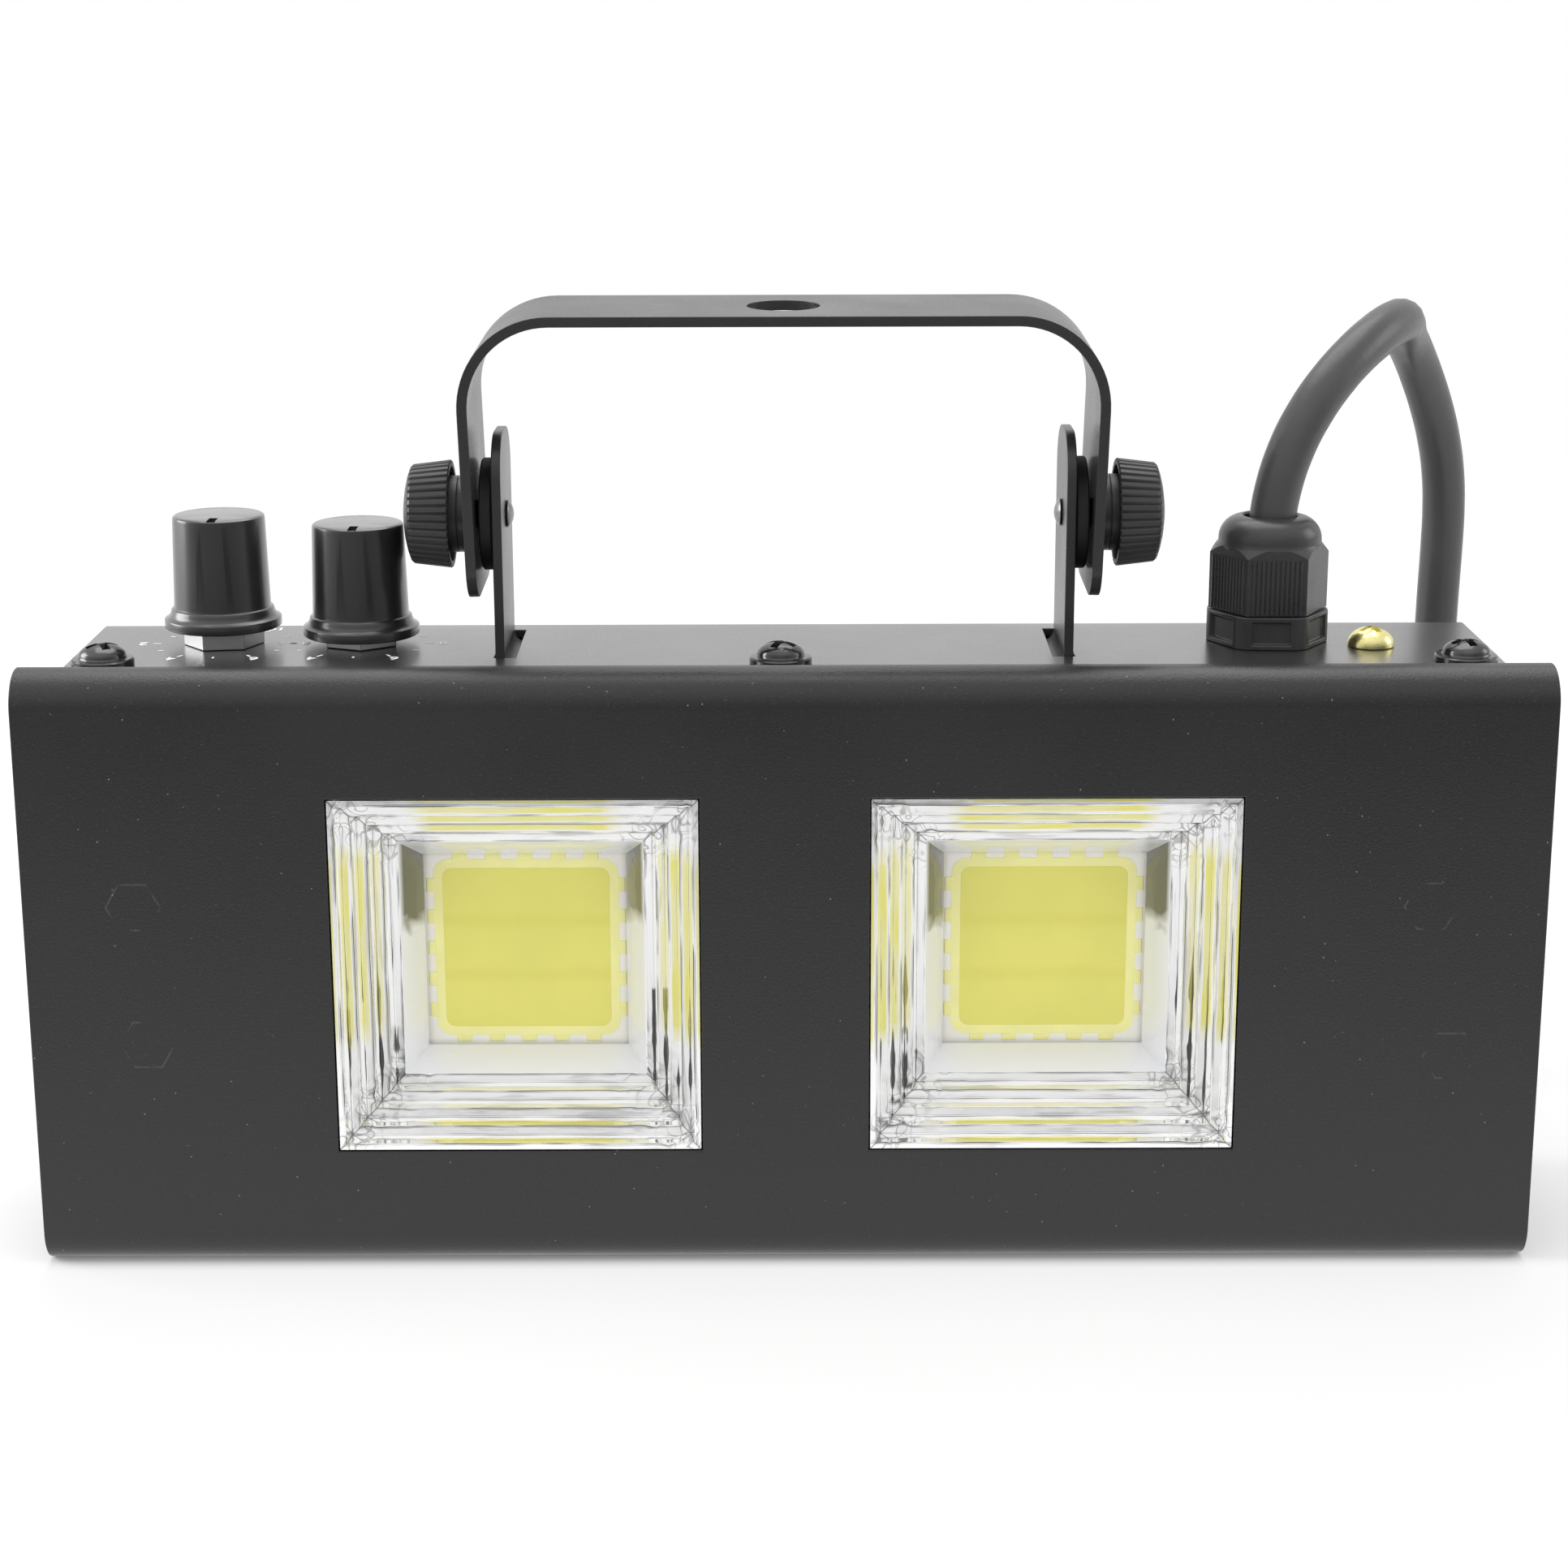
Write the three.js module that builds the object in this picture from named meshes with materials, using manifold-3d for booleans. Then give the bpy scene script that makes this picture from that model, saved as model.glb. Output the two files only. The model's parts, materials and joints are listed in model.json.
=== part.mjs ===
// A small LED strobe light: a black sheet-metal box with two square flash windows, a hanging yoke,
// two control knobs and a mains lead that leaves through a cable gland.
// Millimetres. X runs to the right, Y away from the viewer, Z up. The lamp stands on its bottom.
// Inside the group called "unit", Y is counted back from the front face of the cover.

import * as THREE from "three";
import { mergeVertices } from "three/addons/utils/BufferGeometryUtils.js";
import Module from "manifold-3d";

const wasm = await Module();
wasm.setup();

// Fits shared by the whole lamp
const seat = 0.3; // left between faces that touch where one of the pieces is turned
const slip = 0.15; // round a sheet edge that lies beside another
const bolt = 0.1; // radial play of a screw, shaft or stud in its hole
const overrun = 1; // how far a cutting tool reaches past the stock

// Flash windows
const windowSize = 50;
const windowSpread = 36.4; // window centre from the middle

// Lens, a clear moulding stepped like a stair from the window down to the emitter
const lensSteps = 5;
const lensWall = 1.6;
const lensFloor = 1.2;
const lensRim = 0.95;
const lensDraft = 0.15;
const lensTreadFall = 0.35;
const lensFlange = 2.3; // how far the flange stands out behind the cover
const lensFlangeThickness = 1.3;
const lensDepth = 17.9;
const lensInnerHalf = 14.2;
const lensDrop = 1.5; // the emitter sits a little below the window's middle
const windowPlay = 0.15;
const lensFrontInset = 0.15;

// Flash emitters: a square chip-on-board module on each side
const emitterBaseSize = 40;
const emitterBaseThickness = 1.5;
const frameSize = 30.4;
const frameThickness = 1.2;
const frameOpening = 25.4;
const frameCorner = 2.2;
const siliconeThickness = 0.7;

// Heat sinks
const sinkWidth = 54;
const sinkHeight = 56;
const sinkBase = 4;
const finLength = 15.1;
const finThickness = 1.8;
const finsEachSide = 4;
const finRoot = 5; // the thick rib in the middle that the screw bites
const sinkScrewShank = 1.5;
const sinkScrewHead = 2.9;
const sinkScrewHeadHeight = 1.7;
const sinkScrewLength = 10;

// Front cover, a plate with both long edges bent back
const coverHeight = 84;
const coverSheet = 1.4;
const coverBend = 5; // outer radius
const coverLip = 5.9; // depth of the bent edges, bend included
const windowDrop = 42; // window centre below the cover's top edge
const windowZ = coverHeight - windowDrop;

// Chassis: top panel, rear wall and bottom in one folded sheet
const bayWidth = 34.6; // room for the boards beside each heat sink
const chassisWidth = 2 * (windowSpread + sinkWidth / 2 + bayWidth);
const coverOverhang = 4.7; // the cover stands out past each end
const coverWidth = chassisWidth + 2 * coverOverhang;
const chassisSheet = 1.2;
const chassisBend = 2;
const emitterStack = frameThickness + emitterBaseThickness + sinkBase + finLength;
const housingDepth = lensDepth + seat + emitterStack + chassisSheet;
const panelTop = coverHeight - coverSheet;
const panelUnder = panelTop - chassisSheet;
const rearInner = housingDepth - chassisSheet;
const ventWidth = 3;
const ventHeight = 34;
const ventPitch = 6.2;
const ventFirst = 7; // first vent from the screw of the heat sink
const ventsEachSide = 3;

// Ears that carry the yoke
const earSheet = 1.3;
const earOffset = 2;
const earInner = windowSpread + earOffset; // inner face from the middle
const earWidth = 16.6;
const pivotFromRear = 15.7;
const pivotY = housingDepth - pivotFromRear;
const pivotHeight = 18.6; // above the panel
const pivotZ = panelTop + pivotHeight;
const earRise = 11.8; // above the pivot
const earCorner = 2.2;
const earBend = 1.6; // inner radius
const earFoot = 13; // length of the welded leg under the panel
const slotRear = 2.2; // the slot runs on behind the ear
const slotInner = 0.3;

// Yoke
const yokeSheet = 1.4;
const yokeWidth = 21;
const yokePlay = 2.3; // from the ear to the leg, filled by the spacer
const yokeHalf = earInner + earSheet + yokePlay + yokeSheet; // outer face from the middle, at the pivot
const yokeSplay = THREE.MathUtils.degToRad(1.4);
const yokeRise = 28.65; // outer top above the pivot
const yokeFall = 10.3; // leg ends below the pivot
const yokeBend = 12.5;
const yokeCorner = 4.5;
const yokeHole = 5; // radius of the hanging hole
const yokeLean = THREE.MathUtils.degToRad(2.3); // it leans forward as it was left

// Yoke clamps: spacer, washer, ribbed knob and its stud
const studRadius = 2;
const studPast = 0.9; // stands out inside the ear
const studPlay = 0.3; // the yoke's and spacer's holes are wider
const spacerRadius = 7.75;
const spacerPlay = 0.25;
const washerRadius = 5.3;
const washerThickness = 1.1;
const clampHub = 5.3;
const clampHubHeight = 0.95; // between the washer and the rim
const clampRim = 7.45;
const clampFace = 6.8;
const clampLength = 5.3; // ribbed part
const clampDome = 1;
const clampRecess = 1.3;
const clampRimWall = 0.9;
const studInKnob = 3.6;

// Rails welded behind the cover and tapped for its screws
const railEnds = 4; // short of the chassis at each end
const railWidth = chassisWidth - 2 * railEnds;
const railSheet = 1.2;
const railBend = 4;
const railGap = 0.4; // from the level leg to the ears
const railReach = pivotY - earWidth / 2 - railGap; // how far back the level leg runs
const railDrop = 11.9; // height of the upright leg, bend included

// Cover screws
const screwFromEnd = 4.2;
const screwSpread = chassisWidth / 2 - screwFromEnd;
const screwFromReach = 4.7;
const screwY = railReach - screwFromReach;
const screwShank = 2; // radius
const screwLength = 8;
const flangeRadius = 4.35;
const flangeHeight = 0.8;
const headRadius = 3.2;
const headHeight = 2.3; // above the flange
const recessWidth = 0.9;
const recessSpan = 3.6;
const recessDepth = 1.1;
const sunkHeadRadius = 2.9;
const sunkHeadHeight = 1.4;
const sunkShank = 1.5;
const sunkInset = 0.1;

// Control knobs and their potentiometers
const knobFromRear = 14.2;
const knobY = housingDepth - knobFromRear;
const soundFromYoke = 15.9; // outside the yoke's left leg
const knobPitch = 19.3;
const soundX = -yokeHalf - soundFromYoke;
const speedX = soundX - knobPitch;
const speedLift = 2.65; // underside of the skirt above the panel
const soundLift = 1.45;
const knobHeight = 15.75;
const skirtRadius = 8.1;
const skirtBand = 1.65;
const skirtShoulder = 0.8;
const knobFoot = 6.7; // radius of the body above the skirt
const knobTop = 6.35;
const knobEdge = 0.5;
const knobHollow = 6.35;
const knobHollowDepth = 3.9;
const knobWall = 2.3; // over the blind bore for the shaft
const pointerWidth = 0.9;
const pointerLength = 2;
const pointerDepth = 0.5;
const potRadius = 8.2;
const potHeight = 8.4;
const bushRadius = 3.5;
const bushHeight = 4.4; // above the panel
const shaftRadius = 3;
const shaftFoot = 3; // how deep the shaft sits in the potentiometer
const shaftRise = 14.5; // above the panel
const nutFlats = 10;
const potNutHeight = 2.4;

// Control board under the potentiometers, with its microphone
const controlWidth = 42;
const controlDepth = 21;
const boardThickness = 1.6;
const microphoneRadius = 3;
const microphoneHeight = 4.5;
const microphoneInset = 3.9; // from the board's left end
const controlX = (speedX + soundX) / 2;
const microphoneX = controlX - controlWidth / 2 + microphoneInset;

// Cable gland
const glandFromEnd = 30.2;
const glandX = chassisWidth / 2 - glandFromEnd;
const glandFromRear = 13.4;
const glandY = housingDepth - glandFromRear;
const glandFlats = 15;
const glandBaseHeight = 4.6;
const glandStemRadius = 6.1;
const glandStemLength = 8; // below the panel's top face
const glandNeckRadius = 5.6;
const glandNeckHeight = 4.5; // above the base
const glandWall = 1.6;
const capFlats = 14.4;
const capHexHeight = 9.1;
const capDomeRadius = 7.15;
const capDomeHeight = 3.9;
const capShoulder = 3.4; // rounding of the dome
const capMouth = 3.75;
const capTurn = THREE.MathUtils.degToRad(9); // the cap stops a little round from the base
const capChamfer = 1.3;
const capWall = 0.8;
const sealHeight = 4.2;
const locknutFlats = 17;
const locknutHeight = 4;

// Earth screw
const earthFromEnd = 16.3;
const earthX = chassisWidth / 2 - earthFromEnd;
const earthFromRear = 17.7;
const earthY = housingDepth - earthFromRear;
const earthHeadRadius = 3.25;
const earthHeadHeight = 2.7;
const earthShank = 2;
const earthLength = 9;
const earthNutFlats = 7;
const earthNutHeight = 3.2;

// Driver board and the parts on it
const driverFromEnd = 16.5;
const driverX = chassisWidth / 2 - driverFromEnd;
const driverWidth = 27;
const driverHeight = 56;
const driverFoot = 5;
const driverZ = driverFoot + driverHeight / 2;
const driverStandoff = 5;
const standoffRadius = 2.2;
const standoffInset = 3;
const terminalWidth = 10;
const terminalDepth = 11;
const terminalHeight = 8;
const terminalFromTop = 9;
const terminalOffset = 6.7; // beside the gland
const terminalX = glandX + terminalOffset;
const terminalZ = driverFoot + driverHeight - terminalFromTop;
const transformerSize = [17, 13, 15];
const transformerZ = driverZ;
const capacitorRadius = 5;
const capacitorLength = 18;
const capacitorRise = 11;
const capacitorZ = driverFoot + capacitorRise;

// Mains lead
const cordRadius = 3.25;
const cordSides = 10;
const cordSteps = 44;
const leadInGland = 3; // the free cord starts this far below the mouth
const leadSteps = 14;
const coilBack = 6.8; // centre of the coil before the end of the free cord
const coilOuter = 44; // centre line of the outer turn
const coilPitch = 7; // from turn to turn
const coilLift = 6.95; // from layer to layer
const coilTurnsEachLayer = 2;
const coilStepsPerTurn = 24;
const coilSides = 6;
const coilExit = 22; // straight run over to the plug

// Mains plug, lying on its back
const plugRadius = 18.5;
const plugHeight = 21;
const plugEdge = 2.5;
const spoutLength = 19.5;
const spoutFront = 4.6;
const spoutBack = 6.6;
const pinRadius = 2.4;
const pinLength = 19;
const pinSpread = 9.5;
const pinTip = 1.2;

// The free cord's centre line from the gland to the coil: across and back from the gland's middle, and up
// from the floor, for a panel at routePanel. Above the panel it keeps its height over it.
const routePanel = 82.6;
const routeRows = [
  [0, 0, 97.6],
  [0.81, 0.13, 103.53],
  [2.63, 1.16, 109.21],
  [5.43, 2.99, 114.25],
  [8.89, 5.71, 118.41],
  [12.61, 9.31, 121.54],
  [16.19, 13.74, 123.59],
  [19.27, 18.85, 124.57],
  [21.64, 24.42, 124.53],
  [23.26, 30.15, 123.43],
  [24.73, 35.58, 121.19],
  [26.95, 40.26, 118.06],
  [29.29, 44.06, 113.97],
  [31.52, 47.08, 109.22],
  [33.4, 49.35, 103.93],
  [34.71, 50.96, 98.25],
  [35.33, 52, 92.31],
  [35.45, 52.6, 86.29],
  [35.37, 52.89, 80.24],
  [35.29, 53.01, 74.19],
  [35.27, 53.05, 68.13],
  [35.3, 53.07, 62.07],
  [35.37, 53.1, 56.02],
  [35.41, 53.12, 49.96],
  [35.19, 53.11, 43.91],
  [34.43, 53.01, 37.9],
  [32.9, 52.73, 32.05],
  [30.56, 52.2, 26.49],
  [27.52, 51.32, 21.33],
  [23.88, 50.02, 16.67],
  [19.74, 48.27, 12.61],
  [15.15, 46.17, 9.27],
  [10.14, 43.95, 6.7],
  [4.73, 41.9, 4.92],
  [-1.02, 40.34, 3.85],
  [-7, 39.5, 3.37],
  [-13, 39.5, 3.3],
];
const coilLow = 3.3; // centre of the lower layer
const routeShare = (panelTop - coilLow) / (routePanel - coilLow);
const cordRoute = routeRows.map(([across, back, up]) => {
  const rise = up > routePanel ? up + panelTop - routePanel : coilLow + (up - coilLow) * routeShare;
  return [glandX + across, glandY + back, rise];
});
const coilStart = cordRoute[cordRoute.length - 1];

const powderBlack = new THREE.MeshStandardMaterial({ color: 0x2b2b2c, roughness: 0.6, metalness: 0.1 });
const panelBlack = new THREE.MeshStandardMaterial({ color: 0x2f2f30, roughness: 0.5, metalness: 0.1 });
const blackScrew = new THREE.MeshStandardMaterial({ color: 0x1a1a1b, roughness: 0.25, metalness: 0.7 });
const knobPlastic = new THREE.MeshStandardMaterial({ color: 0x2e2e2f, roughness: 0.55, metalness: 0 });
const glandNylon = new THREE.MeshStandardMaterial({ color: 0x303031, roughness: 0.4, metalness: 0 });
const clearLens = new THREE.MeshStandardMaterial({ color: 0xf2f4f0, roughness: 0.05, metalness: 0 });
const whitePlastic = new THREE.MeshStandardMaterial({ color: 0xe4e4e0, roughness: 0.5, metalness: 0 });
const phosphor = new THREE.MeshStandardMaterial({ color: 0xe3dc7c, roughness: 0.5, metalness: 0 });
const aluminium = new THREE.MeshStandardMaterial({ color: 0xb9bcbf, roughness: 0.4, metalness: 1 });
const steel = new THREE.MeshStandardMaterial({ color: 0xa9abad, roughness: 0.3, metalness: 1 });
const brass = new THREE.MeshStandardMaterial({ color: 0xd9c45c, roughness: 0.25, metalness: 1 });
const boardGreen = new THREE.MeshStandardMaterial({ color: 0x1f5a36, roughness: 0.5, metalness: 0 });
const rubber = new THREE.MeshStandardMaterial({ color: 0x1d1d1d, roughness: 0.8, metalness: 0 });
const cordSkin = new THREE.MeshStandardMaterial({ color: 0x3a3a3b, roughness: 0.45, metalness: 0 });
const windingYellow = new THREE.MeshStandardMaterial({ color: 0xd8b63a, roughness: 0.6, metalness: 0 });

const lamp = new THREE.Group();
lamp.name = "strobe_light";
const unit = new THREE.Group();
unit.name = "unit";
const overallDepth = housingDepth + sinkScrewHeadHeight;
unit.position.y = -overallDepth / 2;
lamp.add(unit);

function piece(parent, name, geometry, material) {
  const mesh = new THREE.Mesh(geometry, material);
  mesh.name = name;
  parent.add(mesh);
  return mesh;
}

function toSolid(geometry) {
  const bare = geometry.clone();
  bare.deleteAttribute("normal");
  bare.deleteAttribute("uv");
  const merged = mergeVertices(bare);
  const vertProperties = new Float32Array(merged.attributes.position.array);
  const triVerts = new Uint32Array(merged.index.array);
  return new wasm.Manifold(new wasm.Mesh({ numProp: 3, vertProperties, triVerts }));
}

function toGeometry(solid) {
  const mesh = solid.getMesh();
  const geometry = new THREE.BufferGeometry();
  geometry.setAttribute("position", new THREE.BufferAttribute(new Float32Array(mesh.vertProperties), 3));
  geometry.setIndex(new THREE.BufferAttribute(new Uint32Array(mesh.triVerts), 1));
  return geometry;
}

function cut(stock, ...tools) {
  return toGeometry(tools.reduce((rest, tool) => rest.subtract(toSolid(tool)), toSolid(stock)));
}

function join(stock, ...others) {
  return toGeometry(others.reduce((sum, other) => sum.add(toSolid(other)), toSolid(stock)));
}

function common(stock, other) {
  return toGeometry(toSolid(stock).intersect(toSolid(other)));
}

function block(x0, x1, y0, y1, z0, z1) {
  const geometry = new THREE.BoxGeometry(x1 - x0, y1 - y0, z1 - z0);
  return geometry.translate((x0 + x1) / 2, (y0 + y1) / 2, (z0 + z1) / 2);
}

// A (y, z) outline swept along X from x0 to x1
function alongX(outline, x0, x1, smooth = 6) {
  const options = { depth: x1 - x0, bevelEnabled: false, curveSegments: smooth };
  const geometry = new THREE.ExtrudeGeometry(outline, options);
  const yAxis = new THREE.Vector3(0, 1, 0);
  const zAxis = new THREE.Vector3(0, 0, 1);
  const xAxis = new THREE.Vector3(1, 0, 0);
  geometry.applyMatrix4(new THREE.Matrix4().makeBasis(yAxis, zAxis, xAxis));
  return geometry.translate(x0, 0, 0);
}

// An (x, z) outline swept along Y from y0 to y1
function alongY(outline, y0, y1, smooth = 6) {
  const options = { depth: y1 - y0, bevelEnabled: false, curveSegments: smooth };
  const geometry = new THREE.ExtrudeGeometry(outline, options);
  geometry.rotateX(Math.PI / 2);
  return geometry.translate(0, y1, 0);
}

// An (x, y) outline swept along Z from z0 to z1
function alongZ(outline, z0, z1, smooth = 6) {
  const options = { depth: z1 - z0, bevelEnabled: false, curveSegments: smooth };
  return new THREE.ExtrudeGeometry(outline, options).translate(0, 0, z0);
}

// A profile of [radius, height] pairs turned round Z; it starts and ends on the axis or closes on itself
function turned(profile, sides) {
  const points = profile.map(([radius, height]) => new THREE.Vector2(radius, height));
  return new THREE.LatheGeometry(points, sides).rotateX(Math.PI / 2);
}

function rod(radius, z0, z1, sides = 20) {
  return turned([[0, z0], [radius, z0], [radius, z1], [0, z1]], sides);
}

function tube(outer, inner, z0, z1, sides = 24) {
  return turned([[inner, z0], [outer, z0], [outer, z1], [inner, z1], [inner, z0]], sides);
}

function polygon(points) {
  return new THREE.Shape(points.map(([a, b]) => new THREE.Vector2(a, b)));
}

function hexagon(flats, turn = 0) {
  const reach = flats / Math.sqrt(3);
  const corners = [];
  for (let i = 0; i < 6; i += 1) {
    const angle = turn + (i * Math.PI) / 3;
    corners.push([reach * Math.cos(angle), reach * Math.sin(angle)]);
  }
  return polygon(corners);
}

// A rectangle in its own plane with the four corners rounded
function roundedBox(a0, a1, b0, b1, low, high) {
  const shape = new THREE.Shape();
  shape.moveTo(a0 + low, b0);
  shape.lineTo(a1 - low, b0);
  if (low > 0) shape.absarc(a1 - low, b0 + low, low, -Math.PI / 2, 0, false);
  shape.lineTo(a1, b1 - high);
  if (high > 0) shape.absarc(a1 - high, b1 - high, high, 0, Math.PI / 2, false);
  shape.lineTo(a0 + high, b1);
  if (high > 0) shape.absarc(a0 + high, b1 - high, high, Math.PI / 2, Math.PI, false);
  shape.lineTo(a0, b0 + low);
  if (low > 0) shape.absarc(a0 + low, b0 + low, low, Math.PI, (3 * Math.PI) / 2, false);
  return shape;
}

// Four-cornered rings [half size, y, drop of the centre] joined in a loop into one closed wall
function squareWall(rings, centreX, centreZ) {
  const corners = [[-1, -1], [1, -1], [1, 1], [-1, 1]];
  const points = [];
  const faces = [];
  for (const [half, y, drop] of rings) {
    for (const [sx, sz] of corners) points.push(centreX + sx * half, y, centreZ - drop + sz * half);
  }
  for (let r = 0; r < rings.length; r += 1) {
    const near = r * 4;
    const far = ((r + 1) % rings.length) * 4;
    for (let c = 0; c < 4; c += 1) {
      const d = (c + 1) % 4;
      faces.push(near + c, far + d, near + d, near + c, far + c, far + d);
    }
  }
  const geometry = new THREE.BufferGeometry();
  geometry.setAttribute("position", new THREE.Float32BufferAttribute(points, 3));
  geometry.setIndex(faces);
  return geometry;
}

// A round tube through given points, with flat ends square to the route
function sweptTube(points, radius, sides) {
  const up = new THREE.Vector3(0, 0, 1);
  const positions = [];
  const faces = [];
  for (let i = 0; i < points.length; i += 1) {
    const before = points[Math.max(i - 1, 0)];
    const after = points[Math.min(i + 1, points.length - 1)];
    const along = after.clone().sub(before).normalize();
    const side = along.clone().cross(up).normalize();
    const rise = side.clone().cross(along);
    for (let s = 0; s < sides; s += 1) {
      const angle = (2 * Math.PI * s) / sides;
      const p = points[i].clone();
      p.addScaledVector(side, radius * Math.cos(angle));
      p.addScaledVector(rise, radius * Math.sin(angle));
      positions.push(p.x, p.y, p.z);
    }
  }
  for (let i = 0; i + 1 < points.length; i += 1) {
    for (let s = 0; s < sides; s += 1) {
      const a = i * sides + s;
      const b = i * sides + ((s + 1) % sides);
      faces.push(a, b + sides, b, a, a + sides, b + sides);
    }
  }
  const last = (points.length - 1) * sides;
  for (let s = 1; s + 1 < sides; s += 1) {
    faces.push(0, s, s + 1);
    faces.push(last, last + s + 1, last + s);
  }
  const geometry = new THREE.BufferGeometry();
  geometry.setAttribute("position", new THREE.Float32BufferAttribute(positions, 3));
  geometry.setIndex(faces);
  return geometry;
}

function at(geometry, x, y, z = 0) {
  return geometry.translate(x, y, z);
}

// Front cover
function coverSection() {
  const inner = coverBend - coverSheet;
  const top = coverHeight;
  const shape = new THREE.Shape();
  shape.moveTo(coverLip, 0);
  shape.lineTo(coverLip, coverSheet);
  shape.lineTo(coverBend, coverSheet);
  shape.absarc(coverBend, coverBend, inner, -Math.PI / 2, -Math.PI, true);
  shape.lineTo(coverSheet, top - coverBend);
  shape.absarc(coverBend, top - coverBend, inner, Math.PI, Math.PI / 2, true);
  shape.lineTo(coverLip, top - coverSheet);
  shape.lineTo(coverLip, top);
  shape.lineTo(coverBend, top);
  shape.absarc(coverBend, top - coverBend, coverBend, Math.PI / 2, Math.PI, false);
  shape.lineTo(0, coverBend);
  shape.absarc(coverBend, coverBend, coverBend, Math.PI, (3 * Math.PI) / 2, false);
  return shape;
}
const windowHalf = windowSize / 2;
const windowCuts = [-1, 1].map((side) =>
  block(
    side * windowSpread - windowHalf,
    side * windowSpread + windowHalf,
    -overrun,
    coverSheet + overrun,
    windowZ - windowHalf,
    windowZ + windowHalf,
  ),
);
const coverStock = alongX(coverSection(), -coverWidth / 2, coverWidth / 2, 8);
piece(unit, "front_cover", cut(coverStock, ...windowCuts), powderBlack);

// Rails behind the cover: an upright leg on the plate and a level leg under the panel
function railSection(levelZ, sign) {
  const inner = railBend - railSheet;
  const face = coverSheet;
  const corner = levelZ - sign * railBend;
  const start = sign > 0 ? Math.PI / 2 : -Math.PI / 2;
  const shape = new THREE.Shape();
  shape.moveTo(railReach, levelZ);
  shape.lineTo(face + railBend, levelZ);
  shape.absarc(face + railBend, corner, railBend, start, Math.PI * sign, sign < 0);
  shape.lineTo(face, levelZ - sign * railDrop);
  shape.lineTo(face + railSheet, levelZ - sign * railDrop);
  shape.lineTo(face + railSheet, corner);
  shape.absarc(face + railBend, corner, inner, Math.PI * sign, start, sign > 0);
  shape.lineTo(railReach, levelZ - sign * railSheet);
  return shape;
}
const screwXs = { left: -screwSpread, middle: 0, right: screwSpread };
const screwPlaces = Object.values(screwXs);
const topHoles = screwPlaces.map((x) =>
  at(rod(screwShank + bolt, panelUnder - railDrop, coverHeight + overrun), x, screwY),
);
const topRail = alongX(railSection(panelUnder, 1), -railWidth / 2, railWidth / 2);
piece(unit, "cover_rail_top", cut(topRail, ...topHoles), powderBlack);

const sunkTop = sunkInset + sunkHeadHeight;
const sunkProfile = [
  [0, sunkInset],
  [sunkHeadRadius, sunkInset],
  [sunkShank, sunkTop],
  [sunkShank, screwLength],
  [0, screwLength],
];
const sunkHoleProfile = [
  [0, -overrun],
  [sunkHeadRadius + bolt + overrun, -overrun],
  [sunkHeadRadius + bolt + sunkInset, 0],
  [sunkShank + bolt * 2, sunkTop],
  [sunkShank + bolt * 2, screwLength + overrun],
  [0, screwLength + overrun],
];
const bottomHoles = screwPlaces.map((x) => at(turned(sunkHoleProfile, 20), x, screwY));
const bottomRail = alongX(railSection(coverSheet, -1), -railWidth / 2, railWidth / 2);
piece(unit, "cover_rail_bottom", cut(bottomRail, ...bottomHoles), powderBlack);

// Chassis
function chassisSection() {
  const inner = chassisBend - chassisSheet;
  const rear = housingDepth - chassisBend;
  const shape = new THREE.Shape();
  shape.moveTo(coverLip + slip, 0);
  shape.lineTo(rear, 0);
  shape.absarc(rear, chassisBend, chassisBend, -Math.PI / 2, 0, false);
  shape.lineTo(housingDepth, panelTop - chassisBend);
  shape.absarc(rear, panelTop - chassisBend, chassisBend, 0, Math.PI / 2, false);
  shape.lineTo(coverBend + slip, panelTop);
  shape.lineTo(coverBend + slip, panelUnder);
  shape.lineTo(rear, panelUnder);
  shape.absarc(rear, panelTop - chassisBend, inner, Math.PI / 2, 0, true);
  shape.lineTo(rearInner, chassisBend);
  shape.absarc(rear, chassisBend, inner, 0, -Math.PI / 2, true);
  shape.lineTo(coverLip + slip, chassisSheet);
  return shape;
}
const earOuter = earInner + earSheet;
const earFront = pivotY - earWidth / 2;
const earBack = pivotY + earWidth / 2;
const panelCuts = [
  ...topHoles,
  ...bottomHoles,
  at(rod(bushRadius + bolt, panelUnder - overrun, panelTop + overrun, 24), speedX, knobY),
  at(rod(bushRadius + bolt, panelUnder - overrun, panelTop + overrun, 24), soundX, knobY),
  at(rod(glandStemRadius + bolt, panelUnder - overrun, panelTop + overrun, 32), glandX, glandY),
  at(rod(earthShank + bolt, panelUnder - overrun, panelTop + overrun), earthX, earthY),
];
for (const side of [-1, 1]) {
  const inside = side * (earInner - earBend - slotInner);
  const outside = side * (earOuter + slip);
  const slot = [Math.min(inside, outside), Math.max(inside, outside), earFront - slip, earBack + slotRear];
  panelCuts.push(block(...slot, panelUnder - overrun, panelTop + overrun));
  const screwHole = rod(sinkScrewShank + bolt, rearInner - overrun, housingDepth + overrun);
  panelCuts.push(at(screwHole.rotateX(-Math.PI / 2), side * windowSpread, 0, windowZ));
  for (let i = 0; i < ventsEachSide; i += 1) {
    for (const way of [-1, 1]) {
      const x = side * windowSpread + way * (ventFirst + i * ventPitch);
      const vent = [x - ventWidth / 2, x + ventWidth / 2, rearInner - overrun, housingDepth + overrun];
      panelCuts.push(block(...vent, windowZ - ventHeight / 2, windowZ + ventHeight / 2));
    }
  }
}
const chassisStock = alongX(chassisSection(), -chassisWidth / 2, chassisWidth / 2);
piece(unit, "chassis", cut(chassisStock, ...panelCuts), panelBlack);

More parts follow.
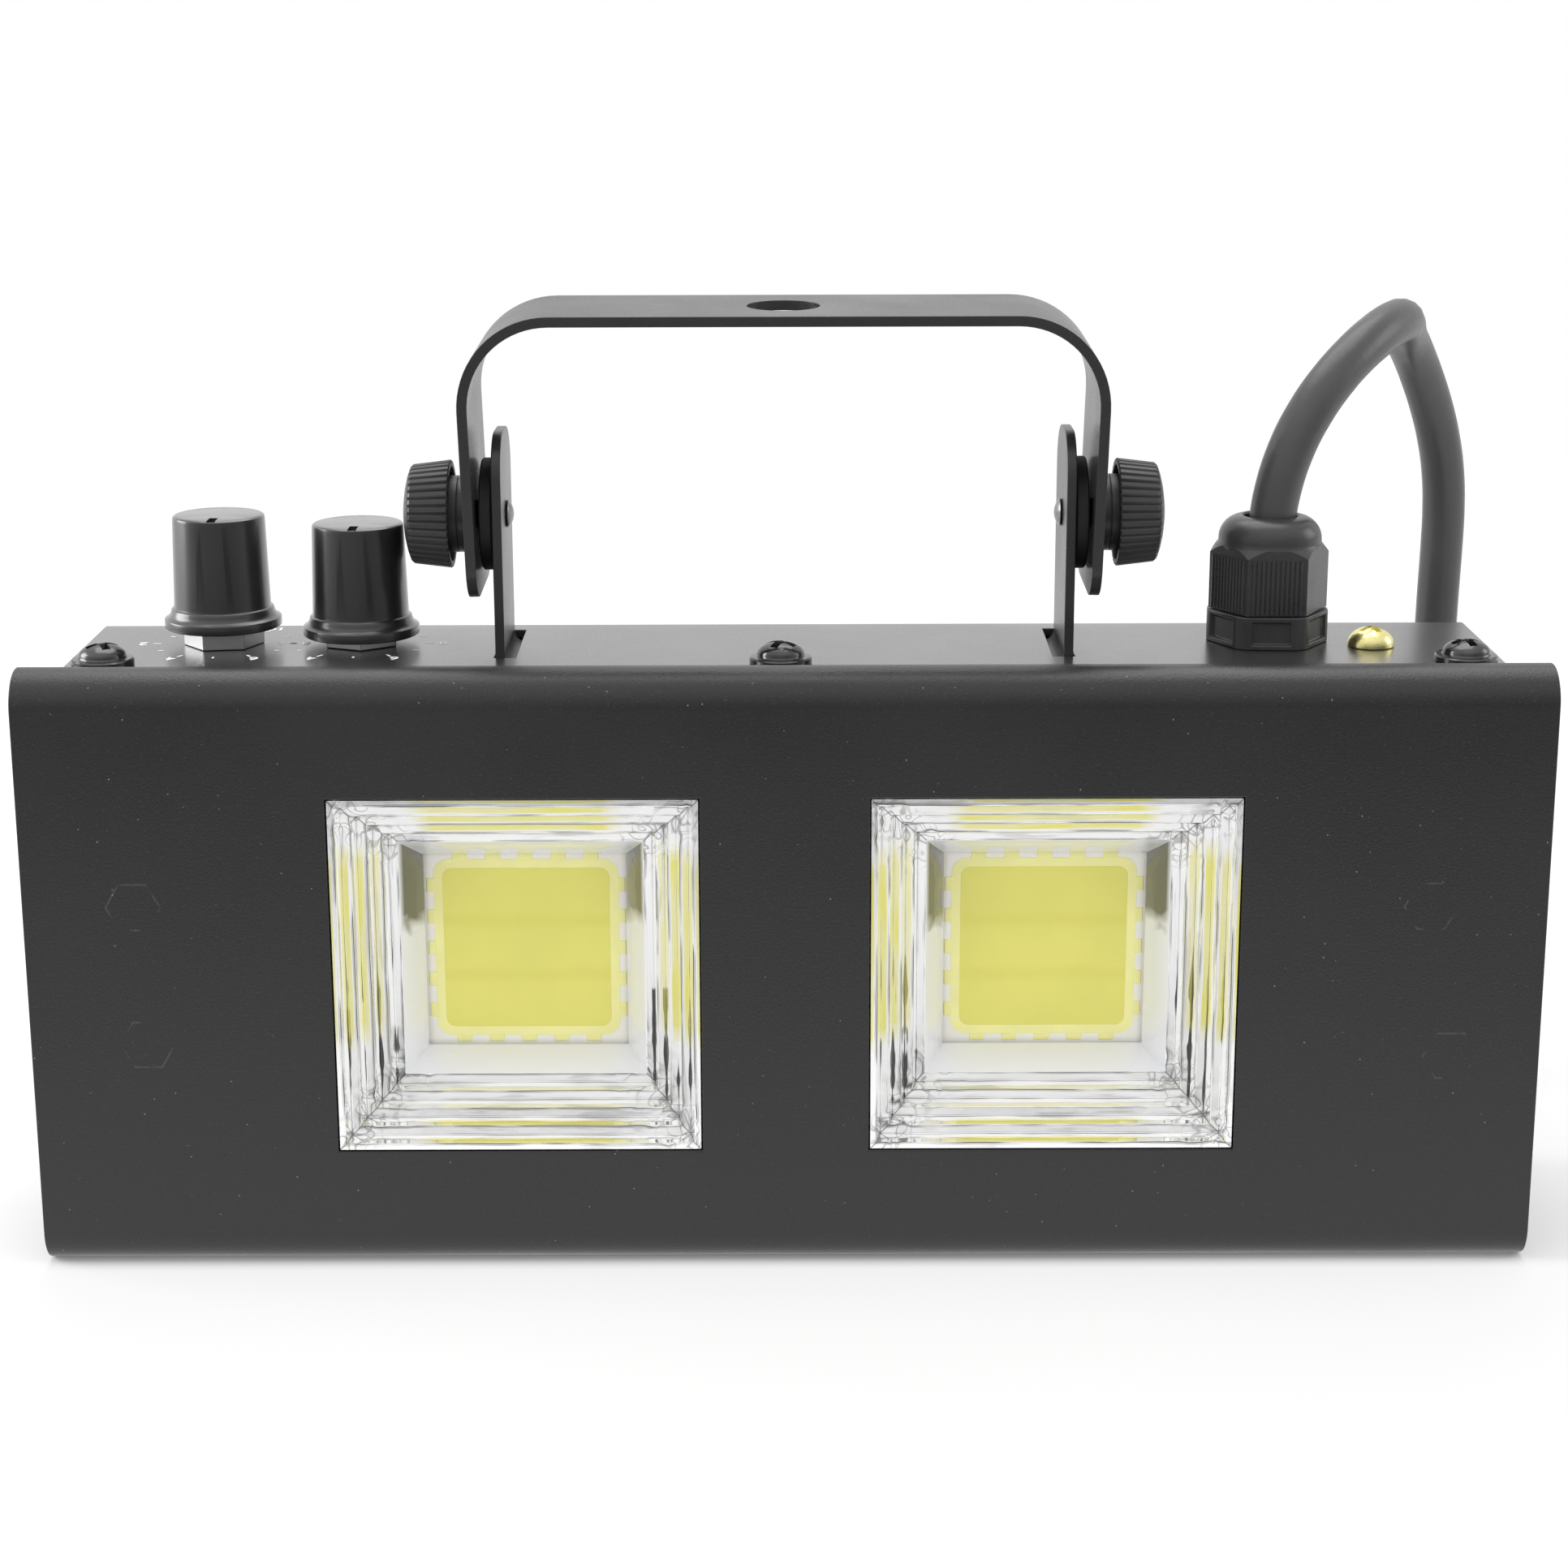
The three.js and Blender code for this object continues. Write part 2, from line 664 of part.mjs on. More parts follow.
// Side plates, welded between the panel, the rear wall and the bottom
const plateFront = coverSheet + slip;
const plateCorner = coverBend + slip;
const plateOutline = polygon([
  [plateFront, plateCorner + coverSheet],
  [plateCorner, coverSheet + slip],
  [rearInner - chassisSheet, coverSheet + slip],
  [rearInner, chassisSheet * 2 + slip],
  [rearInner, panelUnder - chassisSheet],
  [rearInner - chassisSheet, panelUnder],
  [plateCorner, panelUnder],
  [plateFront, panelUnder - plateCorner],
]);
const sideOuter = chassisWidth / 2;
piece(unit, "side_plate_left", alongX(plateOutline, -sideOuter, chassisSheet - sideOuter), panelBlack);
piece(unit, "side_plate_right", alongX(plateOutline, sideOuter - chassisSheet, sideOuter), panelBlack);

// Cover screws: three flanged pan heads on the panel, three countersunk ones in the bottom
function crossCuts(top) {
  const low = top - recessDepth;
  const high = top + overrun;
  const half = recessSpan / 2;
  const slim = recessWidth / 2;
  return [block(-half, half, -slim, slim, low, high), block(-slim, slim, -half, half, low, high)];
}
function domeProfile(radius, height, foot, steps) {
  const points = [];
  for (let i = 0; i <= steps; i += 1) {
    const angle = (i * Math.PI) / 2 / steps;
    points.push([radius * Math.cos(angle), foot + height * Math.sin(angle)]);
  }
  return points;
}
const flangeTop = panelTop + flangeHeight;
const panScrew = cut(
  turned(
    [
      [0, panelTop - screwLength],
      [screwShank, panelTop - screwLength],
      [screwShank, panelTop],
      [flangeRadius, panelTop],
      [flangeRadius, panelTop + flangeHeight / 2],
      [headRadius, flangeTop],
      ...domeProfile(headRadius, headHeight, flangeTop, 4).slice(1, -1),
      [0, flangeTop + headHeight],
    ],
    20,
  ),
  ...crossCuts(flangeTop + headHeight),
);
for (const [place, x] of Object.entries(screwXs)) {
  piece(unit, `cover_screw_top_${place}`, at(panScrew.clone(), x, screwY), blackScrew);
  piece(unit, `cover_screw_bottom_${place}`, at(turned(sunkProfile, 16), x, screwY), blackScrew);
}

// Lenses: a collar in the window, a flange behind the cover, then the stair down to the floor
const lensFront = lensFrontInset;
const lensOuterHalf = windowHalf - windowPlay;
const lensMouthHalf = lensOuterHalf - lensRim;
const lensRiser = (lensDepth - lensFloor - lensFront) / lensSteps;
const lensTread = (lensMouthHalf - lensInnerHalf) / lensSteps;
const flangeFront = coverSheet + seat;
function lensRings() {
  const dropAt = (y) => (lensDrop * (y - lensFront)) / (lensDepth - lensFront);
  const flangeBack = flangeFront + lensFlangeThickness;
  const flangeHalf = lensOuterHalf + lensFlange;
  const rings = [
    [lensOuterHalf, lensFront, 0],
    [lensOuterHalf, flangeFront, 0],
    [flangeHalf, flangeFront, 0],
    [flangeHalf, flangeBack, 0],
    [lensMouthHalf + lensWall, flangeBack, dropAt(flangeBack)],
  ];
  const inside = [];
  for (let i = 0; i < lensSteps; i += 1) {
    const half = lensMouthHalf - i * lensTread;
    const y0 = lensFront + i * lensRiser;
    const y1 = y0 + lensRiser;
    const back = i + 1 < lensSteps ? y1 + lensWall : lensDepth;
    const inFront = i > 0 ? y0 + lensTreadFall : y0;
    if (i > 0) rings.push([half + lensWall, y0 + lensWall, dropAt(y0 + lensWall)]);
    rings.push([half + lensWall - lensDraft, back, dropAt(back)]);
    inside.push([half, inFront, dropAt(inFront)], [half - lensDraft, y1, dropAt(y1)]);
  }
  inside.push([lensInnerHalf, lensDepth - lensFloor, dropAt(lensDepth - lensFloor)]);
  inside.push([lensInnerHalf, lensDepth, lensDrop]);
  return [...rings, ...inside.reverse()];
}
for (const [side, sign] of [["left", -1], ["right", 1]]) {
  piece(unit, `lens_${side}`, squareWall(lensRings(), sign * windowSpread, windowZ), clearLens);
}

// Emitters and heat sinks, stacked behind each lens
const emitterZ = windowZ - lensDrop;
const frameFront = lensDepth + seat;
const baseFront = frameFront + frameThickness;
const sinkFront = baseFront + emitterBaseThickness;
const sinkFinFront = sinkFront + sinkBase;
function sinkSection(centreX) {
  const half = sinkWidth / 2;
  const pitch = (half - finRoot / 2) / finsEachSide;
  const outline = [[half, sinkFront]];
  for (let i = finsEachSide; i >= -finsEachSide; i -= 1) {
    const edge = finRoot / 2 + Math.abs(i) * pitch;
    const ribs = [edge - finThickness, edge];
    if (i === 0) ribs[0] = -edge;
    const [low, high] = i < 0 ? [-ribs[1], -ribs[0]] : ribs;
    if (i < finsEachSide) outline.push([high, sinkFinFront]);
    outline.push([high, rearInner], [low, rearInner]);
    if (i > -finsEachSide) outline.push([low, sinkFinFront]);
  }
  outline.push([-half, sinkFront]);
  return polygon(outline.map(([x, y]) => [x + centreX, y]).reverse());
}
for (const [side, sign] of [["left", -1], ["right", 1]]) {
  const x = sign * windowSpread;
  const half = frameSize / 2;
  const open = frameOpening / 2;
  const flatHalf = emitterBaseSize / 2;
  const opening = roundedBox(x - open, x + open, emitterZ - open, emitterZ + open, frameCorner, frameCorner);
  const frameShape = roundedBox(x - half, x + half, emitterZ - half, emitterZ + half, 0, 0);
  frameShape.holes.push(new THREE.Path(opening.getPoints(4)));
  piece(unit, `emitter_frame_${side}`, alongY(frameShape, frameFront, baseFront, 4), whitePlastic);
  const fill = open - slip;
  const fillCorner = frameCorner - slip;
  const silicone = roundedBox(x - fill, x + fill, emitterZ - fill, emitterZ + fill, fillCorner, fillCorner);
  const siliconeFront = baseFront - siliconeThickness;
  piece(unit, `emitter_phosphor_${side}`, alongY(silicone, siliconeFront, baseFront, 4), phosphor);
  const flat = [x - flatHalf, x + flatHalf, baseFront, sinkFront, emitterZ - flatHalf, emitterZ + flatHalf];
  piece(unit, `emitter_base_${side}`, block(...flat), aluminium);
  const sinkScrewTip = housingDepth - sinkScrewLength;
  const tapping = rod(sinkScrewShank + bolt, sinkScrewTip - seat, rearInner + overrun, 16);
  const sink = cut(
    alongZ(sinkSection(x), windowZ - sinkHeight / 2, windowZ + sinkHeight / 2),
    at(tapping.rotateX(-Math.PI / 2), x, 0, windowZ),
  );
  piece(unit, `heat_sink_${side}`, sink, aluminium);
  const sinkScrew = turned(
    [
      [0, sinkScrewTip],
      [sinkScrewShank, sinkScrewTip],
      [sinkScrewShank, housingDepth],
      [sinkScrewHead, housingDepth],
      [sinkScrewHead, housingDepth + sinkScrewHeadHeight / 2],
      [sinkScrewHead / 2, housingDepth + sinkScrewHeadHeight],
      [0, housingDepth + sinkScrewHeadHeight],
    ],
    16,
  );
  piece(unit, `heat_sink_screw_${side}`, at(sinkScrew.rotateX(-Math.PI / 2), x, 0, windowZ), steel);
}

// Potentiometers, their nuts and shafts, and the two control knobs
function controlKnob(lift) {
  const foot = panelTop + lift;
  const top = foot + knobHeight;
  const boreTop = top - knobWall;
  const band = foot + skirtBand;
  const shoulder = band + skirtShoulder;
  const bore = shaftRadius + bolt;
  const waist = (skirtRadius + knobFoot) / 2;
  const body = turned(
    [
      [0, boreTop],
      [bore, boreTop],
      [bore, foot + knobHollowDepth],
      [knobHollow, foot + knobHollowDepth],
      [knobHollow, foot],
      [skirtRadius, foot],
      [skirtRadius, band],
      [waist, shoulder - skirtShoulder / 4],
      [knobFoot, shoulder],
      [knobTop, top - knobEdge],
      [knobTop - knobEdge / 3, top - knobEdge / 3],
      [knobTop - knobEdge, top],
      [0, top],
    ],
    32,
  );
  const mark = [-pointerWidth / 2, pointerWidth / 2, -knobTop - overrun, pointerLength - knobTop];
  return cut(body, block(...mark, top - pointerDepth, top + overrun));
}
const potFoot = panelUnder - potHeight;
for (const [name, x, lift] of [["speed", speedX, speedLift], ["sound", soundX, soundLift]]) {
  const well = panelUnder - shaftFoot;
  const pot = turned(
    [
      [0, potFoot],
      [potRadius, potFoot],
      [potRadius, panelUnder],
      [bushRadius, panelUnder],
      [bushRadius, panelTop + bushHeight],
      [shaftRadius + bolt, panelTop + bushHeight],
      [shaftRadius + bolt, well],
      [0, well],
    ],
    24,
  );
  piece(unit, `potentiometer_${name}`, at(pot, x, knobY), aluminium);
  const shaft = rod(shaftRadius, well + seat, panelTop + shaftRise, 24);
  piece(unit, `${name}_shaft`, at(shaft, x, knobY), aluminium);
  const nut = hexagon(nutFlats);
  nut.holes.push(new THREE.Path().absarc(0, 0, bushRadius + bolt, 0, 2 * Math.PI, true));
  const nutSolid = alongZ(nut, panelTop, panelTop + potNutHeight, 12);
  piece(unit, `${name}_nut`, at(nutSolid, x, knobY), steel);
  piece(unit, `${name}_knob`, at(controlKnob(lift), x, knobY), knobPlastic);
}

// Control board soldered under the potentiometers, and the microphone capsule under it
const controlTop = potFoot - seat;
const controlFront = knobY - controlDepth / 2;
const controlSpan = [controlX - controlWidth / 2, controlX + controlWidth / 2];
const controlRows = [controlFront, controlFront + controlDepth, controlTop - boardThickness, controlTop];
piece(unit, "control_board", block(...controlSpan, ...controlRows), boardGreen);
const capsuleTop = controlTop - boardThickness - seat;
const capsule = rod(microphoneRadius, capsuleTop - microphoneHeight, capsuleTop, 16);
piece(unit, "microphone", at(capsule, microphoneX, knobY), steel);

// Cable gland: body through the panel, locknut below, rubber seal and domed cap above
const glandSide = 2 * Math.PI / 12;
const glandBore = glandStemRadius - glandWall;
const baseTop = panelTop + glandBaseHeight;
const sealFoot = baseTop + glandNeckHeight - sealHeight / 2;
const neckInner = glandNeckRadius - glandWall / 2;
const stemFoot = panelTop - glandStemLength;
const glandCore = turned(
  [
    [glandBore, stemFoot],
    [glandStemRadius, stemFoot],
    [glandStemRadius, panelTop],
    [glandStemRadius, baseTop],
    [glandNeckRadius, baseTop],
    [glandNeckRadius, baseTop + glandNeckHeight],
    [neckInner, baseTop + glandNeckHeight],
    [neckInner, sealFoot - seat],
    [glandBore, sealFoot - seat],
    [glandBore, stemFoot],
  ],
  32,
);
const baseHex = hexagon(glandFlats, 0);
baseHex.holes.push(new THREE.Path().absarc(0, 0, glandStemRadius - glandWall / 2, 0, 2 * Math.PI, true));
const glandBody = join(glandCore, alongZ(baseHex, panelTop, baseTop, 16));
piece(unit, "gland_body", at(glandBody, glandX, glandY), glandNylon);

const capFoot = baseTop + seat / 2;
const capShoulderZ = capFoot + capHexHeight;
const capTop = capShoulderZ + capDomeHeight;
const capReach = capFlats / Math.sqrt(3);
const capHex = alongZ(hexagon(capFlats, capTurn), capFoot, capTop + overrun);
const domeArc = [];
for (let i = 0; i <= 4; i += 1) {
  const angle = (i * Math.PI) / 8;
  const rim = capDomeRadius - capShoulder;
  domeArc.push([rim + capShoulder * Math.cos(angle), capTop - capShoulder + capShoulder * Math.sin(angle)]);
}
const capEnvelope = turned(
  [
    [capMouth, capTop],
    [capMouth, capTop - capWall * 2],
    [neckInner + capWall, capTop - capWall * 4],
    [glandNeckRadius + bolt, baseTop + glandNeckHeight + capWall],
    [glandNeckRadius + bolt, capFoot - overrun],
    [capReach + overrun, capFoot - overrun],
    [capReach + overrun, capShoulderZ - capChamfer],
    [capFlats / 2, capShoulderZ],
    [capDomeRadius, capShoulderZ],
    ...domeArc,
    [capMouth, capTop],
  ],
  36,
);
piece(unit, "gland_cap", at(common(capEnvelope, capHex), glandX, glandY), glandNylon);

const sealTop = sealFoot + sealHeight;
const seal = tube(neckInner - slip, cordRadius + slip, sealFoot, sealTop, 24);
piece(unit, "gland_seal", at(seal, glandX, glandY), rubber);
const locknut = hexagon(locknutFlats, 0);
locknut.holes.push(new THREE.Path().absarc(0, 0, glandStemRadius + bolt, 0, 2 * Math.PI, true));
const locknutSolid = alongZ(locknut, panelUnder - locknutHeight, panelUnder, 16);
piece(unit, "gland_locknut", at(locknutSolid, glandX, glandY), glandNylon);

// Earth screw with its nut under the panel
const earthScrew = cut(
  turned(
    [
      [0, panelTop - earthLength],
      [earthShank, panelTop - earthLength],
      [earthShank, panelTop],
      [earthHeadRadius, panelTop],
      ...domeProfile(earthHeadRadius, earthHeadHeight, panelTop, 5).slice(1, -1),
      [0, panelTop + earthHeadHeight],
    ],
    24,
  ),
  ...crossCuts(panelTop + earthHeadHeight).map((tool) => tool.rotateZ(capTurn * 3)),
);
piece(unit, "earth_screw", at(earthScrew, earthX, earthY), brass);
const earthNut = hexagon(earthNutFlats, capTurn);
earthNut.holes.push(new THREE.Path().absarc(0, 0, earthShank + bolt, 0, 2 * Math.PI, true));
const earthNutSolid = alongZ(earthNut, panelUnder - earthNutHeight, panelUnder, 12);
piece(unit, "earth_nut", at(earthNutSolid, earthX, earthY), brass);

// Driver board on four pillars at the rear wall, with terminal block, transformer and capacitor
const driverRear = rearInner - driverStandoff;
const driverFront = driverRear - boardThickness;
const driverLeft = driverX - driverWidth / 2;
const driverRight = driverX + driverWidth / 2;
const driverLow = driverZ - driverHeight / 2;
const driverHigh = driverZ + driverHeight / 2;
const pillars = [];
for (const x of [driverLeft + standoffInset, driverRight - standoffInset]) {
  for (const z of [driverLow + standoffInset, driverHigh - standoffInset]) {
    const pillar = rod(standoffRadius, driverFront + boardThickness / 2, rearInner - seat, 12);
    pillars.push(at(pillar.rotateX(-Math.PI / 2), x, 0, z));
  }
}
const driverPlate = block(driverLeft, driverRight, driverFront, driverRear, driverLow, driverHigh);
const terminal = block(
  terminalX - terminalWidth / 2,
  terminalX + terminalWidth / 2,
  driverFront - terminalDepth,
  driverFront + boardThickness / 2,
  terminalZ - terminalHeight / 2,
  terminalZ + terminalHeight / 2,
);
piece(unit, "driver_board", join(driverPlate, terminal, ...pillars), boardGreen);
const [coreWidth, coreDepth, coreHeight] = transformerSize;
const transformer = block(
  driverX - coreWidth / 2,
  driverX + coreWidth / 2,
  driverFront - coreDepth,
  driverFront,
  transformerZ - coreHeight / 2,
  transformerZ + coreHeight / 2,
);
piece(unit, "driver_transformer", transformer, windingYellow);
const capacitor = rod(capacitorRadius, -capacitorLength / 2, capacitorLength / 2, 16);
const capacitorY = driverFront - capacitorRadius - seat;
piece(unit, "driver_capacitor", at(capacitor.rotateY(Math.PI / 2), driverX, capacitorY, capacitorZ), rubber);

// Ears: each comes up through a slot, its foot welded under the panel
function ear(sign) {
  const holeX = [Math.min(sign * earInner, sign * earOuter) - overrun, earSheet + 2 * overrun];
  const wall = roundedBox(earFront, earBack, panelTop, pivotZ + earRise, 0, earCorner);
  const x0 = Math.min(sign * earInner, sign * earOuter);
  const plate = alongX(wall, x0, x0 + earSheet, 4);
  const low = panelUnder - earSheet;
  const foot = new THREE.Shape();
  const bendX = earInner - earBend;
  const bendZ = panelUnder + earBend;
  const turn = earBend + earSheet;
  foot.moveTo(sign * earOuter, panelTop + overrun);
  foot.lineTo(sign * earInner, panelTop + overrun);
  foot.lineTo(sign * earInner, bendZ);
  const arcStart = sign > 0 ? 0 : Math.PI;
  foot.absarc(sign * bendX, bendZ, earBend, arcStart, -Math.PI / 2 - (sign > 0 ? 0 : 2 * Math.PI), sign > 0);
  foot.lineTo(sign * (earInner - earFoot), panelUnder);
  foot.lineTo(sign * (earInner - earFoot), low);
  foot.lineTo(sign * bendX, low);
  foot.absarc(sign * bendX, bendZ, turn, -Math.PI / 2, arcStart, sign < 0);
  const hole = rod(studRadius + bolt, holeX[0], holeX[0] + holeX[1], 20).rotateY(Math.PI / 2);
  return cut(join(plate, alongY(foot, earFront, earBack, 5)), at(hole, 0, pivotY, pivotZ));
}
for (const [side, sign] of [["left", -1], ["right", 1]]) {
  piece(unit, `ear_${side}`, ear(sign), powderBlack);
}

// Yoke: one strip bent into a U, turned a little forward round the clamp axis
const yokeFrame = new THREE.Group();
yokeFrame.name = "yoke_frame";
yokeFrame.position.set(0, pivotY, pivotZ);
yokeFrame.rotation.x = yokeLean;
unit.add(yokeFrame);
function yokeSection() {
  const lean = Math.tan(yokeSplay);
  const outerAt = (z) => yokeHalf + z * lean;
  const innerAt = (z) => outerAt(z) - yokeSheet / Math.cos(yokeSplay);
  const innerBend = yokeBend - yokeSheet;
  const bendZ = yokeRise - yokeBend;
  const bendX = outerAt(bendZ) - yokeBend;
  const from = -yokeFall;
  const shape = new THREE.Shape();
  shape.moveTo(outerAt(from), from);
  shape.absarc(bendX, bendZ, yokeBend, 0, Math.PI / 2, false);
  shape.absarc(-bendX, bendZ, yokeBend, Math.PI / 2, Math.PI, false);
  shape.lineTo(-outerAt(from), from);
  shape.lineTo(-innerAt(from), from);
  shape.absarc(-bendX, bendZ, innerBend, Math.PI, Math.PI / 2, true);
  shape.absarc(bendX, bendZ, innerBend, Math.PI / 2, 0, true);
  shape.lineTo(innerAt(from), from);
  return shape;
}
const yokeReach = yokeHalf + yokeRise;
const yokeStrip = alongY(yokeSection(), -yokeWidth / 2, yokeWidth / 2, 8);
const yokeSide = roundedBox(-yokeWidth / 2, yokeWidth / 2, -yokeFall, yokeRise + overrun, yokeCorner, 0);
const yokeEnvelope = alongX(yokeSide, -yokeReach, yokeReach, 5);
const studWay = rod(studRadius + studPlay, -yokeReach, yokeReach, 24).rotateY(Math.PI / 2);
const hangingHole = rod(yokeHole, yokeRise - yokeBend, yokeRise + overrun, 32);
const yokeSolid = cut(common(yokeStrip, yokeEnvelope), studWay, hangingHole);
piece(yokeFrame, "yoke", yokeSolid, powderBlack);

// Clamps: the stud turns in the ear and the knob presses the leg on the spacer
const legInner = yokeHalf - yokeSheet;
const spacerOuter = legInner - spacerPlay - seat / 2;
const washerInner = yokeHalf + seat;
const washerOuter = washerInner + washerThickness;
const hubInner = washerOuter + slip;
const rimInner = hubInner + clampHubHeight;
const clampEnd = rimInner + clampLength;
const studFrom = earInner - studPast;
const studTo = rimInner + studInKnob;
const clampProfile = [
  [0, studTo + slip],
  [studRadius + bolt, studTo + slip],
  [studRadius + bolt, hubInner],
  [clampHub, hubInner],
  [clampHub, rimInner + clampRecess],
  [clampRim - clampRimWall, rimInner + clampRecess],
  [clampRim - clampRimWall, rimInner],
  [clampRim, rimInner],
  [clampFace, clampEnd],
  [clampFace * 0.72, clampEnd + clampDome * 0.6],
  [clampFace * 0.4, clampEnd + clampDome * 0.9],
  [0, clampEnd + clampDome],
];
for (const [side, sign] of [["left", -1], ["right", 1]]) {
  const outward = (geometry) => at(geometry.rotateY((sign * Math.PI) / 2), 0, pivotY, pivotZ);
  const spacer = tube(spacerRadius, studRadius + studPlay, earOuter + slip, spacerOuter, 28);
  piece(unit, `spacer_${side}`, outward(spacer), rubber);
  const washer = tube(washerRadius, studRadius + bolt, washerInner, washerOuter, 24);
  piece(unit, `clamp_washer_${side}`, outward(washer), blackScrew);
  piece(unit, `clamp_knob_${side}`, outward(turned(clampProfile, 36)), knobPlastic);
  piece(unit, `clamp_stud_${side}`, outward(rod(studRadius, studFrom, studTo, 20)), steel);
}

// The lead inside the lamp, from the seal down to the terminal block
const leadTop = cordRoute[0][2] - seat * 2;
const leadEnd = terminalZ + terminalHeight / 2 + seat;
const leadRoute = new THREE.CatmullRomCurve3([
  new THREE.Vector3(glandX, glandY, leadTop),
  new THREE.Vector3(glandX, glandY, panelTop),
  new THREE.Vector3(glandX, glandY, stemFoot),
  new THREE.Vector3((glandX + terminalX) / 2, glandY, (stemFoot + leadEnd) / 2),
  new THREE.Vector3(terminalX, glandY, leadEnd + cordRadius / 2),
  new THREE.Vector3(terminalX, glandY, leadEnd),
]);
function roundShape(radius, sides) {
  const corners = [];
  for (let i = 0; i < sides; i += 1) {
    const angle = (2 * Math.PI * i) / sides;
    corners.push([radius * Math.cos(angle), radius * Math.sin(angle)]);
  }
  return polygon(corners);
}
const leadOptions = { steps: leadSteps, bevelEnabled: false, extrudePath: leadRoute };
const leadGeometry = new THREE.ExtrudeGeometry(roundShape(cordRadius, cordSides), leadOptions);
piece(unit, "inner_lead", leadGeometry, cordSkin);

// The free cord from the gland over the back to the floor
const freeCurve = new THREE.CatmullRomCurve3(cordRoute.map((p) => new THREE.Vector3(...p)), false, "centripetal");
const freeOptions = { steps: cordSteps, bevelEnabled: false, extrudePath: freeCurve };
const freeGeometry = new THREE.ExtrudeGeometry(roundShape(cordRadius, cordSides), freeOptions);
piece(unit, "power_cord", freeGeometry, cordSkin);

// The rest of the cord, wound into a flat coil of two layers behind the lamp
const coilY = coilStart[1] + coilOuter;
const coilX = coilStart[0] - coilBack;
const coilEndX = coilX - coilExit;
function coilPoints() {
  const points = [new THREE.Vector3(coilStart[0] - seat, coilStart[1], coilLow)];
  const half = 2 * Math.PI * coilTurnsEachLayer;
  const steps = 2 * coilTurnsEachLayer * coilStepsPerTurn;
  for (let i = 0; i <= steps; i += 1) {
    const turn = (2 * half * i) / steps;
    const fromEnd = Math.min(turn, 2 * half - turn);
    const radius = coilOuter - (coilPitch * fromEnd) / (2 * Math.PI);
    const climb = THREE.MathUtils.smoothstep(turn, half - Math.PI / 2, half + Math.PI / 2);
    const angle = -Math.PI / 2 - turn;
    const x = coilX + radius * Math.cos(angle);
    const y = coilY + radius * Math.sin(angle);
    points.push(new THREE.Vector3(x, y, coilLow + coilLift * climb));
  }
  points.push(new THREE.Vector3(coilEndX, coilStart[1], coilLow + coilLift));
  return points;
}
function leastGap(points, radius) {
  let least = Infinity;
  for (let i = 0; i < points.length; i += 1) {
    for (let j = i + coilStepsPerTurn / 2; j < points.length; j += 1) {
      least = Math.min(least, points[i].distanceTo(points[j]) - 2 * radius);
    }
  }
  return least;
}
const coilLine = coilPoints();
const coilCurve = new THREE.CatmullRomCurve3(coilLine);
console.log(`cord_coil: least gap to itself ${leastGap(coilLine, cordRadius).toFixed(2)} mm`);
console.log(`free cord ${freeCurve.getLength().toFixed(0)} mm, coil ${coilCurve.getLength().toFixed(0)} mm`);
piece(unit, "cord_coil", sweptTube(coilLine, cordRadius, coilSides), cordSkin);

// Mains plug beside the coil, lying on its back with the pins up
const plugX = coilEndX - seat - spoutLength - Math.sqrt(plugRadius ** 2 - spoutBack ** 2) + overrun;
const spoutZ = coilLow + coilLift;
const plugDisc = turned(
  [
    [0, 0],
    [plugRadius - plugEdge / 2, 0],
    [plugRadius, plugEdge / 2],
    [plugRadius, plugHeight - plugEdge],
    [plugRadius - plugEdge, plugHeight],
    [0, plugHeight],
  ],
  32,
);
const spout = turned(
  [
    [0, 0],
    [spoutFront, 0],
    [spoutBack, spoutLength],
    [spoutBack, spoutLength + plugRadius / 2],
    [0, spoutLength + plugRadius / 2],
  ],
  16,
).rotateY(-Math.PI / 2);
const plugBody = join(at(plugDisc, plugX, coilStart[1]), at(spout, coilEndX - seat, coilStart[1], spoutZ));
piece(unit, "plug_body", plugBody, rubber);
for (const [name, sign] of [["line", -1], ["neutral", 1]]) {
  const pin = turned(
    [
      [0, plugHeight],
      [pinRadius, plugHeight],
      [pinRadius, plugHeight + pinLength - pinTip],
      [pinRadius - pinTip, plugHeight + pinLength],
      [0, plugHeight + pinLength],
    ],
    14,
  );
  piece(unit, `plug_pin_${name}`, at(pin, plugX, coilStart[1] + sign * pinSpread), steel);
}

export default lamp;
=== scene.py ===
import json
import math

import bmesh
import bpy
from mathutils import Matrix, Vector

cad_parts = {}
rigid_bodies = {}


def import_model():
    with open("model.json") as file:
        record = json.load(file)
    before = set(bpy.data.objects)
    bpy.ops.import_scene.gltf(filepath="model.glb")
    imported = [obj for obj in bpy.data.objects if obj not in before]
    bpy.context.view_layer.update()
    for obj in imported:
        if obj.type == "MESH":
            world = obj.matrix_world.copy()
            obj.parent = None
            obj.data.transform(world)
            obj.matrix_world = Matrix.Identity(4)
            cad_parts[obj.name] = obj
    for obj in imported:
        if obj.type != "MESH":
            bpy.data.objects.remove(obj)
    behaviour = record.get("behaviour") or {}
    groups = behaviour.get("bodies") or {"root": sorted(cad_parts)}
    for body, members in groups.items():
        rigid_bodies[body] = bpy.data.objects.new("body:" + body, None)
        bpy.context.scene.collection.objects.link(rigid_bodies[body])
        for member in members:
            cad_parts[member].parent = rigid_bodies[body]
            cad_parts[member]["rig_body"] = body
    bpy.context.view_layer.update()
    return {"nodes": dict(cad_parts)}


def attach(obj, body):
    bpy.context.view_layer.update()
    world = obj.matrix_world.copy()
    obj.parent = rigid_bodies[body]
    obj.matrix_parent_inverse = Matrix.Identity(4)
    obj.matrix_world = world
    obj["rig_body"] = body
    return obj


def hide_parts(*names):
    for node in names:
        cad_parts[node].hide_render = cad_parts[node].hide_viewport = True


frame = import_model()
scene = bpy.context.scene
